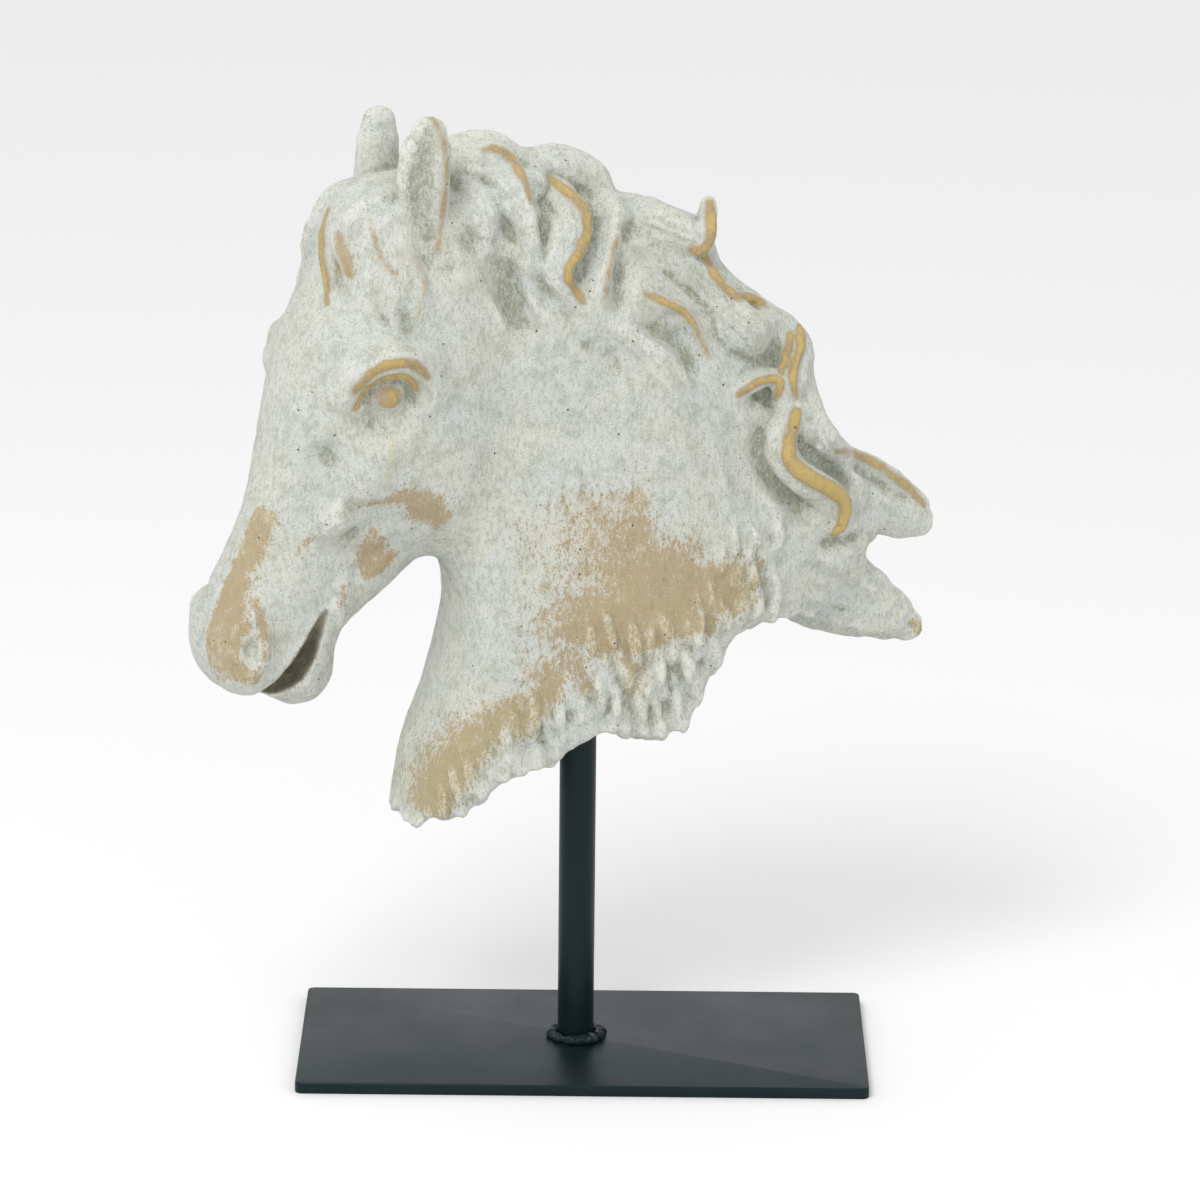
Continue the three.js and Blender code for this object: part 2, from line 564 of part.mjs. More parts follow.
// Height of the rough break under the neck: it climbs from the front to the mane.
function breakHeight(x, y) {
  const line = along([[-88, 113], [-66, 122], [-27, 142], [4, 157], [20, 154], [38, 155], [45, 167],
    [52, 182], [64, 196], [78, 199], [100, 199]], x);
  const lumps = 2.6 * Math.sin(0.19 * x + 0.8) * Math.sin(0.17 * y + 0.4)
    + 1.5 * Math.sin(0.41 * x) * Math.sin(0.33 * y + 1);
  return line + lumps;
}

// The whole horse, from the neck outwards.
function modelHorse() {
  const clay = new Clay([-186, -76, 98], [162, 62, 434], MODEL_CELL);
  clay.add(neck, 1);
  clay.carve({
    low: [-110, -76, 80],
    high: [110, 62, 230],
    distance: (x, y, z) => (z - breakHeight(x, y)) * 0.8,
  }, 2);
  modelTufts(clay);
  clay.add(inHead(head), 16);
  modelFace(clay);
  modelMane(clay);
  modelForelock(clay);
  modelEars(clay);
  return clay.surface();
}

// Thins a closed mesh to the number of triangles asked for. Again and again it takes out the edge whose
// loss moves the surface least, judged by the squared distances to the planes of the faces around it.
function thin({ points, faces }, wanted) {
  const count = points.length;
  const planes = points.map(() => new Float64Array(10));
  const around = points.map(() => new Set());
  const normal = ([a, b, c]) => {
    const [ux, uy, uz] = [0, 1, 2].map((k) => b[k] - a[k]);
    const [vx, vy, vz] = [0, 1, 2].map((k) => c[k] - a[k]);
    return [uy * vz - uz * vy, uz * vx - ux * vz, ux * vy - uy * vx];
  };
  faces.forEach((face, id) => {
    const n = normal(face.map((v) => points[v]));
    const size = Math.hypot(...n) || 1e-12;
    const [a, b, c] = n.map((v) => v / size);
    const [x, y, z] = points[face[0]];
    const d = -(a * x + b * y + c * z);
    const terms = [a * a, a * b, a * c, a * d, b * b, b * c, b * d, c * c, c * d, d * d];
    for (const v of face) {
      terms.forEach((term, k) => { planes[v][k] += term * size; });
      around[v].add(id);
    }
  });

  const stamp = new Uint32Array(count);
  const heap = [];
  const before = (i, j) => heap[i].cost < heap[j].cost;
  const swap = (i, j) => { [heap[i], heap[j]] = [heap[j], heap[i]]; };
  const push = (item) => {
    let i = heap.push(item) - 1;
    while (i > 0 && before(i, (i - 1) >> 1)) {
      swap(i, (i - 1) >> 1);
      i = (i - 1) >> 1;
    }
  };
  const pop = () => {
    const top = heap[0];
    const end = heap.pop();
    if (heap.length) {
      heap[0] = end;
      for (let i = 0; ;) {
        let best = i;
        if (2 * i + 1 < heap.length && before(2 * i + 1, best)) best = 2 * i + 1;
        if (2 * i + 2 < heap.length && before(2 * i + 2, best)) best = 2 * i + 2;
        if (best === i) break;
        swap(i, best);
        i = best;
      }
    }
    return top;
  };

  // The best place for one point instead of u and v, held near their middle where the planes leave it free.
  const rate = (u, v) => {
    const q = planes[u].map((term, k) => term + planes[v][k]);
    const mid = points[u].map((p, k) => (p + points[v][k]) / 2);
    const hold = 1e-3 * (q[0] + q[4] + q[7]) + 1e-9;
    const [a, b, c, e, f, i] = [q[0] + hold, q[1], q[2], q[4] + hold, q[5], q[7] + hold];
    const [r, s, t] = [hold * mid[0] - q[3], hold * mid[1] - q[6], hold * mid[2] - q[8]];
    const det = a * (e * i - f * f) - b * (b * i - f * c) + c * (b * f - e * c);
    const x = (r * (e * i - f * f) - b * (s * i - f * t) + c * (s * f - e * t)) / det;
    const y = (a * (s * i - f * t) - r * (b * i - f * c) + c * (b * t - s * c)) / det;
    const z = (a * (e * t - s * f) - b * (b * t - s * c) + r * (b * f - e * c)) / det;
    const cost = q[0] * x * x + q[4] * y * y + q[7] * z * z + q[9]
      + 2 * (q[1] * x * y + q[2] * x * z + q[5] * y * z + q[3] * x + q[6] * y + q[8] * z);
    push({ cost, u, v, at: [x, y, z], key: stamp[u] + stamp[v] });
  };
  faces.forEach(([a, b, c]) => {
    if (a < b) rate(a, b);
    if (b < c) rate(b, c);
    if (c < a) rate(c, a);
  });

  const neighbours = (v) => {
    const found = new Set();
    for (const id of around[v]) for (const w of faces[id]) if (w !== v) found.add(w);
    return found;
  };
  const turnsOver = (v, other, at) => {
    for (const id of around[v]) {
      if (faces[id].includes(other)) continue;
      const old = normal(faces[id].map((w) => points[w]));
      const next = normal(faces[id].map((w) => (w === v ? at : points[w])));
      const dot = old[0] * next[0] + old[1] * next[1] + old[2] * next[2];
      if (dot <= 0.25 * Math.hypot(...old) * Math.hypot(...next)) return true;
    }
    return false;
  };
  let left = faces.length;
  while (left > wanted && heap.length) {
    const { u, v, at, key } = pop();
    if (key !== stamp[u] + stamp[v] || !around[u].size || !around[v].size) continue;
    const near = neighbours(u);
    const shared = [...neighbours(v)].filter((w) => near.has(w));
    if (shared.length !== 2 || turnsOver(u, v, at) || turnsOver(v, u, at)) continue;
    for (const id of [...around[v]]) {
      if (faces[id].includes(u)) {
        faces[id].forEach((w) => around[w].delete(id));
        left--;
      } else {
        faces[id] = faces[id].map((w) => (w === v ? u : w));
        around[u].add(id);
      }
    }
    around[v].clear();
    points[u] = at;
    planes[v].forEach((term, k) => { planes[u][k] += term; });
    const ring = neighbours(u);
    stamp[u]++;
    stamp[v]++;
    for (const w of ring) rate(Math.min(u, w), Math.max(u, w));
  }
  const used = new Map();
  const kept = [];
  const index = [];
  faces.forEach((face, id) => {
    if (!around[face[0]].has(id)) return;
    for (const v of face) {
      if (!used.has(v)) used.set(v, kept.push(points[v]) - 1);
      index.push(used.get(v));
    }
  });
  return { points: kept, index };
}

// Solids for joining and cutting
function solid(geometry) {
  const bare = geometry.clone();
  bare.deleteAttribute('normal');
  bare.deleteAttribute('uv');
  const merged = mergeVertices(bare, 1e-4);
  return new wasm.Manifold(new wasm.Mesh({
    numProp: 3,
    vertProperties: new Float32Array(merged.attributes.position.array),
    triVerts: new Uint32Array(merged.index.array),
  }));
}

function geometryOf(body) {
  const mesh = body.getMesh();
  const geometry = new THREE.BufferGeometry();
  geometry.setAttribute('position', new THREE.BufferAttribute(new Float32Array(mesh.vertProperties), 3));
  geometry.setIndex(new THREE.BufferAttribute(new Uint32Array(mesh.triVerts), 1));
  geometry.computeVertexNormals();
  return geometry;
}

function uprightCylinder(diameter, height, sides) {
  const geometry = new THREE.CylinderGeometry(diameter / 2, diameter / 2, height, sides);
  return geometry.rotateX(Math.PI / 2).translate(0, 0, height / 2);
}

// The horse at its real size, with the post's mouth at the origin and the socket cut up into it.
function horseGeometry() {
  const form = thin(sponge(modelHorse(), 2), HORSE_TRIANGLES);
  const scale = HORSE_HEIGHT / GRID_HEIGHT;
  const geometry = new THREE.BufferGeometry();
  geometry.setAttribute('position', new THREE.Float32BufferAttribute(form.points.flat(), 3));
  geometry.setIndex(form.index);
  geometry.translate(...GRID_ENTRY.map((v) => -v));
  geometry.scale(scale, scale, scale);
  geometry.rotateZ(radians(NECK_TURN));
  const length = CUTTER_START + SOCKET_DEPTH + SOCKET_CLEARANCE;
  const cutter = uprightCylinder(POST_DIAMETER + 2 * SOCKET_CLEARANCE, length, ROUND_SIDES);
  cutter.translate(0, 0, -CUTTER_START);
  return geometryOf(solid(geometry).subtract(solid(cutter)));
}

function plateGeometry() {
  const x = PLATE_LENGTH / 2 - PLATE_EDGE_BREAK;
  const y = PLATE_DEPTH / 2 - PLATE_EDGE_BREAK;
  const r = PLATE_CORNER_RADIUS - PLATE_EDGE_BREAK;
  const outline = new THREE.Shape();
  outline.absarc(x - r, y - r, r, 0, Math.PI / 2);
  outline.absarc(-x + r, y - r, r, Math.PI / 2, Math.PI);
  outline.absarc(-x + r, -y + r, r, Math.PI, 1.5 * Math.PI);
  outline.absarc(x - r, -y + r, r, 1.5 * Math.PI, 2 * Math.PI);
  const geometry = new THREE.ExtrudeGeometry(outline, {
    depth: PLATE_THICKNESS - 2 * PLATE_EDGE_BREAK,
    bevelSize: PLATE_EDGE_BREAK,
    bevelThickness: PLATE_EDGE_BREAK,
    bevelSegments: 1,
    curveSegments: 4,
  });
  return geometry.translate(0, 0, PLATE_EDGE_BREAK);
}

// A hand-laid bead: a ring whose leg swells and shrinks round the post, heaviest towards the front right.
function weldGeometry() {
  const inner = POST_DIAMETER / 2 + TOUCHING_GAP;
  const section = [[0, 0], [1, 0], [0.86, 0.42], [0.42, 0.86], [0, 1], [0, 0]];
  const profile = section.map(([out, up]) => new THREE.Vector2(inner + out * WELD_LEG, up * WELD_LEG));
  const geometry = new THREE.LatheGeometry(profile, ROUND_SIDES).rotateX(Math.PI / 2);
  const position = geometry.attributes.position;
  for (let i = 0; i < position.count; i++) {
    const x = position.getX(i);
    const y = position.getY(i);
    const angle = Math.atan2(y, x);
    const lumps = 0.5 * Math.sin(7 * angle) + 0.5 * Math.sin(4 * angle + 1)
      + Math.max(0, Math.cos(angle + 0.9));
    const swell = 1 + WELD_WAVINESS * lumps;
    const r = inner + (Math.hypot(x, y) - inner) * swell;
    position.setXYZ(i, r * Math.cos(angle), r * Math.sin(angle), position.getZ(i) * swell);
  }
  return geometry;
}

const finishes = {
  plaster: new THREE.MeshStandardMaterial({ color: COLOUR.plaster, roughness: 0.9, metalness: 0 }),
  blackSteel: new THREE.MeshStandardMaterial({ color: COLOUR.blackSteel, roughness: 0.45, metalness: 0.3 }),
};

function piece(name, geometry, finish, [x, y, z]) {
  const mesh = new THREE.Mesh(geometry, finish);
  mesh.name = name;
  mesh.position.set(x, y, z);
  return mesh;
}

const sculpture = new THREE.Group();
const postHeight = POST_REACH + SOCKET_DEPTH;
sculpture.add(piece('base_plate', plateGeometry(), finishes.blackSteel, [0, 0, 0]));
sculpture.add(piece('post', uprightCylinder(POST_DIAMETER, postHeight, ROUND_SIDES), finishes.blackSteel,
  [...POST_OFF_CENTRE, PLATE_THICKNESS]));
sculpture.add(piece('weld_bead', weldGeometry(), finishes.blackSteel,
  [...POST_OFF_CENTRE, PLATE_THICKNESS]));
sculpture.add(piece('horse_head', horseGeometry(), finishes.plaster,
  [...POST_OFF_CENTRE, PLATE_THICKNESS + POST_REACH]));

export default sculpture;
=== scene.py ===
import math

import bmesh
import bpy
import numpy as np
from mathutils import Matrix, Vector


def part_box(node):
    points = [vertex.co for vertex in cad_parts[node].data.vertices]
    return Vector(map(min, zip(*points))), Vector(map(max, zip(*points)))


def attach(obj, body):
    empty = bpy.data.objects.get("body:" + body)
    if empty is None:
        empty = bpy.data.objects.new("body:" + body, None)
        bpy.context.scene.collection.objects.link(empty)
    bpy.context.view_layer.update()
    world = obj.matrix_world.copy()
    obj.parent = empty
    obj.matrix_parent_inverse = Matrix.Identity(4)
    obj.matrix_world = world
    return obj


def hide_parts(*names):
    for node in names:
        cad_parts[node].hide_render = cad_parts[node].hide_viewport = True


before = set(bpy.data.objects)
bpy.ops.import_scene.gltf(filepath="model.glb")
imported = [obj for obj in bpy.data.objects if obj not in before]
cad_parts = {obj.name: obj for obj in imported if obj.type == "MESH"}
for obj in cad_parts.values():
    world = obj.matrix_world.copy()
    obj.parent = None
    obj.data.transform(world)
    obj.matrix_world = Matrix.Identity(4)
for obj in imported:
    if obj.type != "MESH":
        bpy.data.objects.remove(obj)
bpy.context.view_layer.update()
MM = 0.001

# The stand, read from the frame
PLATE_LOW, PLATE_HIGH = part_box("base_plate")
POST_LOW, POST_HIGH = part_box("post")
WELD_LOW, WELD_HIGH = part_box("weld_bead")
HORSE_LOW, HORSE_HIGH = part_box("horse_head")
POST_RADIUS = (POST_HIGH.x - POST_LOW.x) / 2
POST_AXIS = Vector(((POST_HIGH.x + POST_LOW.x) / 2, (POST_HIGH.y + POST_LOW.y) / 2, 0))
SOCKET_DEPTH = 34 * MM
WELD_LEG, WELD_GAP = 4 * MM, 0.3 * MM
PLATE_CORNER, PLATE_EDGE_BREAK, POST_EDGE_BREAK = 3 * MM, 0.6 * MM, 0.5 * MM

# The clay's grid: x along the neck's plane, y across it, z up, and the post enters at GRID_ENTRY.
GRID_ENTRY = np.array([-1.3, 0.0, 155.0])
NECK_TURN = math.radians(10)
HEAD_TURN = math.radians(18)
HEAD_PIVOT = -55.0
CELL = 1.25
HORSE_TRIANGLES = 190000
BLOCK_LOW, BLOCK_HIGH = (-186, -76, 98), (162, 62, 434)
NEARLY_ZERO = 1e-6


# Soft shapes. Each has low and high corners and a distance, negative inside.

def ease(low, high, v):
    """0 below low, 1 above high, and a smooth step between."""
    t = np.clip((v - low) / (high - low), 0, 1)
    return t * t * (3 - 2 * t)


def along(pairs, v):
    """Value at v of a smooth line through (position, value) pairs."""
    v = np.asarray(v, np.float32)
    value = np.full(v.shape, pairs[0][1], np.float32)
    for (p, a), (q, b) in zip(pairs, pairs[1:]):
        value = value + (b - a) * ease(p, q, v)
    return value


def spline(points, steps, closed=False):
    """Catmull-Rom points through a short list of stations."""
    p = np.asarray(points, float)
    if closed:
        p = np.vstack([p, p[:1]])
    ends = np.vstack([p[:1], p, p[-1:]])
    t = np.linspace(0, 1, steps, endpoint=False)[:, None]
    parts = []
    for a, b, c, d in zip(ends, ends[1:], ends[2:], ends[3:]):
        u, w = (c - a) / 2, (d - b) / 2
        parts.append((2 * b - 2 * c + u + w) * t ** 3 + (-3 * b + 3 * c - 2 * u - w) * t ** 2 + u * t + b)
    line = np.vstack(parts)
    return line if closed else np.vstack([line, p[-1:]])


class Shape:
    """Low and high corners, and a function that gives how far a place lies outside."""

    def __init__(self, low, high, distance):
        self.low, self.high = np.asarray(low, float), np.asarray(high, float)
        self.distance = distance


class Trunk:
    """A soft body with a drawn profile in the x-z plane and a swelling thickness across it."""

    def __init__(self, outline, half_width, rim):
        self.line = spline(outline, 6, closed=True)
        self.half_width, self.rim = half_width, rim
        margin = 30
        self.origin = self.line.min(0) - margin
        size = np.ceil(self.line.max(0) + margin - self.origin).astype(int) + 2
        gx, gz = np.meshgrid(np.arange(size[0]), np.arange(size[1]), indexing="ij")
        self.depths = self._depth(gx + self.origin[0], gz + self.origin[1]).astype(np.float32)
        reach = 60
        self.low = np.array([self.line[:, 0].min(), -reach, self.line[:, 1].min()])
        self.high = np.array([self.line[:, 0].max(), reach, self.line[:, 1].max()])

    def _depth(self, x, z):
        near = np.full(x.shape, np.inf)
        inside = np.zeros(x.shape, bool)
        for a, b in zip(self.line, np.roll(self.line, -1, 0)):
            e = b - a
            t = np.clip(((x - a[0]) * e[0] + (z - a[1]) * e[1]) / max(e @ e, NEARLY_ZERO), 0, 1)
            near = np.minimum(near, np.hypot(x - a[0] - t * e[0], z - a[1] - t * e[1]))
            if a[1] != b[1]:
                inside ^= ((a[1] > z) != (b[1] > z)) & (x < a[0] + (z - a[1]) / e[1] * e[0])
        return np.where(inside, near, -near)

    def depth(self, x, z):
        """How far a point of the plane lies inside the profile, read from the grid of depths."""
        x, z = np.broadcast_arrays(np.asarray(x, np.float32), np.asarray(z, np.float32))
        u = np.clip(x - self.origin[0], 0, self.depths.shape[0] - 1.001)
        w = np.clip(z - self.origin[1], 0, self.depths.shape[1] - 1.001)
        i, k = u.astype(int), w.astype(int)
        fu, fw = u - i, w - k
        d = self.depths
        return ((d[i, k] * (1 - fu) + d[i + 1, k] * fu) * (1 - fw)
                + (d[i, k + 1] * (1 - fu) + d[i + 1, k + 1] * fu) * fw)

    def side(self, x, z):
        """Half the body's thickness at a point of its profile."""
        q = np.clip(1 - self.depth(x, z) / self.rim(x, z), 0, 1)
        return self.half_width(x, z) * np.sqrt(1 - q * q)

    def distance(self, x, y, z):
        rim, width = self.rim(x, z), self.half_width(x, z)
        q = np.maximum(0, 1 - self.depth(x, z) / rim)
        return (np.hypot(y / width, q) - 1) * np.minimum(rim, width)


def lump(centre, radii, tilt=0):
    """An ellipsoid, leaning by tilt degrees in the x-z plane, with its twin on the other side."""
    (x0, y0, z0), (rx, ry, rz) = centre, radii
    c, s = math.cos(math.radians(tilt)), math.sin(math.radians(tilt))
    reach, span = max(rx, rz), y0 + ry

    def distance(x, y, z):
        dx, dz = (x - x0) * c + (z - z0) * s, (z - z0) * c - (x - x0) * s
        dy = np.abs(y) - y0
        k = np.sqrt((dx / rx) ** 2 + (dy / ry) ** 2 + (dz / rz) ** 2)
        g = np.sqrt((dx / rx ** 2) ** 2 + (dy / ry ** 2) ** 2 + (dz / rz ** 2) ** 2)
        return k * (k - 1) / np.maximum(g, NEARLY_ZERO)

    return Shape([x0 - reach, -span, z0 - reach], [x0 + reach, span, z0 + reach], distance)


def roll(stations, flat=1.0, twins=False):
    """A rolled strip of clay through stations (x, y, z, radius), flattened across y."""
    s = np.asarray(stations, float)
    most = s[:, 3].max() * max(1, flat)
    low, high = s[:, :3].min(0) - most, s[:, :3].max(0) + most
    if twins:
        span = np.abs(s[:, 1]).max() + most
        low[1], high[1] = -span, span

    def distance(x, y, z):
        if twins:
            y = np.abs(y)
        best = None
        for a, b in zip(s, s[1:]):
            e = (b - a)[:3]
            run = (x - a[0]) * e[0] + (y - a[1]) * e[1] + (z - a[2]) * e[2]
            t = np.clip(run / max(e @ e, NEARLY_ZERO), 0, 1)
            r = a[3] + (b[3] - a[3]) * t
            k = np.sqrt((x - a[0] - t * e[0]) ** 2 + ((y - a[1] - t * e[1]) / flat) ** 2
                        + (z - a[2] - t * e[2]) ** 2)
            d = (k - r) * min(1, flat)
            best = d if best is None else np.minimum(best, d)
        return best

    return Shape(low, high, distance)


def turned(shape, angle, pivot):
    """The same shape in a plane turned about the upright line x = pivot."""
    c, s = math.cos(angle), math.sin(angle)
    corners = [(pivot + (x - pivot) * c - y * s, (x - pivot) * s + y * c)
               for x in (shape.low[0], shape.high[0]) for y in (shape.low[1], shape.high[1])]
    low, high = np.min(corners, 0), np.max(corners, 0)

    def distance(x, y, z):
        return shape.distance(pivot + (x - pivot) * c + y * s, y * c - (x - pivot) * s, z)

    return Shape([*low, shape.low[2]], [*high, shape.high[2]], distance)


class Clay:
    """A block of modelling clay on a grid: each node holds about how far it lies outside the form."""

    def __init__(self, low, high, cell):
        self.low, self.cell = np.asarray(low, float), cell
        self.count = np.ceil((np.asarray(high) - self.low) / cell).astype(int) + 1
        far_outside = 20 * cell
        self.nodes = np.full(self.count, far_outside, np.float32)

    def _near(self, shape, margin):
        """The part of the block around a shape, and the shape's distance at its nodes."""
        first = np.maximum(0, np.floor((shape.low - margin - self.low) / self.cell)).astype(int)
        last = np.minimum(self.count, np.ceil((shape.high + margin - self.low) / self.cell).astype(int) + 1)
        part = tuple(slice(a, b) for a, b in zip(first, last))
        x, y, z = [(np.arange(a, b) * self.cell + low).astype(np.float32)
                   for a, b, low in zip(first, last, self.low)]
        return part, shape.distance(x[:, None, None], y[None, :, None], z[None, None, :])

    def add(self, shape, soft, sign=1):
        """Presses a shape on, with the seam smoothed over the length soft."""
        part, d = self._near(shape, soft + 2 * self.cell)
        old = sign * self.nodes[part]
        h = np.maximum(0, 1 - np.abs(old - d) / soft)
        self.nodes[part] = sign * (np.minimum(old, d) - h * h * soft / 4)

    def carve(self, shape, soft):
        """Cuts a shape away: it is pressed onto what isn't clay."""
        self.add(shape, soft, -1)

    def skin(self, points, press):
        """Where the clay's skin is first met when each point is pressed through it from outside."""
        reach, step = 75.0, self.cell / 2
        steps = np.arange(0, 2 * reach, step)
        track = points[:, None, :] + press * (steps - reach)[None, :, None]
        depth = self.read(self.nodes, track.reshape(-1, 3)).reshape(len(points), -1)
        first = np.argmax(depth < 0, axis=1)
        met = first > 0
        rows = np.arange(len(points))
        before, after = depth[rows, first - 1], depth[rows, first]
        at = steps[first] - step * np.where(met, after / np.where(met, after - before, 1), 0) - reach
        if not met.any():
            return points
        at = np.interp(rows, rows[met], at[met])
        if len(at) > 4:
            at[1:-1] = (at[:-2] + 2 * at[1:-1] + at[2:]) / 4
        return points + press * at[:, None]

    def surface(self):
        """The closed surface as points and quads, one point in each grid cube that the skin crosses."""
        f = self.nodes
        inside = f < 0
        corners = [(a, b, c) for a in (0, 1) for b in (0, 1) for c in (0, 1)]
        nx, ny, nz = [n - 1 for n in f.shape]
        total = sum(inside[a:a + nx, b:b + ny, c:c + nz].astype(np.uint8) for a, b, c in corners)
        cubes = np.argwhere((total > 0) & (total < 8))
        number = np.full(total.shape, -1, np.int32)
        number[tuple(cubes.T)] = np.arange(len(cubes))
        value = {c: f[tuple((cubes + c).T)] for c in corners}
        place, met = np.zeros((len(cubes), 3)), np.zeros(len(cubes))
        for a in corners:
            for axis in range(3):
                if a[axis]:
                    continue
                b = tuple(1 if k == axis else v for k, v in enumerate(a))
                cut = (value[a] < 0) != (value[b] < 0)
                t = np.where(cut, value[a] / np.where(cut, value[a] - value[b], 1), 0)
                at = np.array(a, float) + t[:, None] * np.eye(3)[axis]
                place += np.where(cut[:, None], at, 0)
                met += cut
        points = self.low + (cubes + place / met[:, None]) * self.cell
        quads = []
        for axis in range(3):
            u, w = (axis + 1) % 3, (axis + 2) % 3
            first = [slice(1, n - 1) for n in f.shape]
            first[axis] = slice(0, f.shape[axis] - 1)
            ahead = list(first)
            ahead[axis] = slice(1, f.shape[axis])
            here, there = inside[tuple(first)], inside[tuple(ahead)]
            for leaving in (True, False):
                edges = np.argwhere((here & ~there) if leaving else (~here & there))
                edges += [s.start for s in first]
                du, dw = np.eye(3, dtype=int)[u], np.eye(3, dtype=int)[w]
                ring = [edges - du - dw, edges - dw, edges, edges - du]
                ring = ring if leaving else ring[::-1]
                quads.append(np.stack([number[tuple(r.T)] for r in ring], 1))
        return points, np.vstack(quads)

    def fullness(self, points, reach):
        """Share of clay within about reach of each point: over a half in a hollow, under it on a ridge."""
        full = (self.nodes < 0).astype(np.float32)
        n = max(1, round(reach / self.cell))
        for axis in range(3):
            for _ in range(2):
                pad = [(0, 0)] * 3
                pad[axis] = (n + 1, n)
                total = np.cumsum(np.pad(full, pad, mode="edge"), axis=axis, dtype=np.float32)
                size = full.shape[axis]
                full = (np.take(total, range(2 * n + 1, 2 * n + 1 + size), axis)
                        - np.take(total, range(0, size), axis)) / (2 * n + 1)
        return self.read(full, points)

    def read(self, grid, points):
        """The values of a grid at any places in the block, between its nodes."""
        u = np.clip((points - self.low) / self.cell, 0, self.count - 1.001)
        i = u.astype(int)
        f = u - i
        value = 0
        for a in (0, 1):
            for b in (0, 1):
                for c in (0, 1):
                    weight = (f[:, 0] if a else 1 - f[:, 0]) * (f[:, 1] if b else 1 - f[:, 1])
                    weight = weight * (f[:, 2] if c else 1 - f[:, 2])
                    value = value + weight * grid[i[:, 0] + a, i[:, 1] + b, i[:, 2] + c]
        return value


# The horse's two main bodies

neck = Trunk(
    [(-64, 236), (-61, 215), (-63, 197), (-70, 170), (-78, 147), (-82, 126), (-83, 104), (-60, 93),
     (0, 105), (60, 125), (96, 170), (109, 192), (122, 212), (126, 234), (112, 258), (101, 284),
     (88, 310), (72, 327), (53, 345), (20, 373), (-20, 391), (-56, 394), (-78, 370), (-82, 320),
     (-76, 270)], lambda x, z: along([(100, 43), (200, 39), (300, 33), (400, 24)], z)
    * along([(20, 1), (110, 0.5), (130, 0.42)], x),
    lambda x, z: along([(-70, 17), (-20, 26), (60, 46)], x),
)

HEAD_TOP = (-80, 395)
HEAD_LEAN = math.radians(20.5)


def head_width(x, z):
    down = (HEAD_TOP[0] - x) * math.sin(HEAD_LEAN) + (HEAD_TOP[1] - z) * math.cos(HEAD_LEAN)
    return along([(0, 26), (60, 36), (100, 32), (150, 22), (190, 23), (225, 20)], down)


head = Trunk(
    [(-75, 402), (-97, 400), (-112, 390), (-118, 373), (-126.5, 351), (-137, 330), (-143, 308),
     (-148, 286), (-154, 266), (-162, 246), (-170, 231), (-173, 219), (-175, 204), (-172, 191),
     (-163, 183), (-152, 181), (-144, 178), (-135, 174), (-125, 178), (-118, 190), (-114, 204),
     (-104, 213), (-91, 222), (-79, 231), (-66, 238), (-54, 254), (-48, 300), (-52, 350), (-58, 385)],
    head_width,
    lambda x, z: np.float32(24),
)


def in_head(shape):
    """A shape drawn in the head's plane, turned to where the head looks."""
    return turned(shape, HEAD_TURN, HEAD_PIVOT)


gilded = []  # lines rubbed with gold, as (points, reach, strength)


def head_to_neck(points):
    """From the head's own turned plane to the neck's."""
    p = np.asarray(points, float)
    c, s = math.cos(HEAD_TURN), math.sin(HEAD_TURN)
    along_x = p[..., 0] - HEAD_PIVOT
    return np.stack([HEAD_PIVOT + along_x * c - p[..., 1] * s, along_x * s + p[..., 1] * c, p[..., 2]], -1)


def lock(body, stations, side):
    """A thick lock of hair through (x, z, radius) stations, lying on one side of a body."""
    lift, flat = 0.1, 0.8
    x, z, r = spline(stations, 4).T
    return roll(np.stack([x, side * (body.side(x, z) + lift * r), z, r], 1), flat)


RUN_OUT = 0.3  # share of a stroke's length over which it runs out, at each end
SUNK = 0.5  # how far its ends lie under the skin, as a share of the seam's softness
THINNEST = 0.4  # radius of a stroke


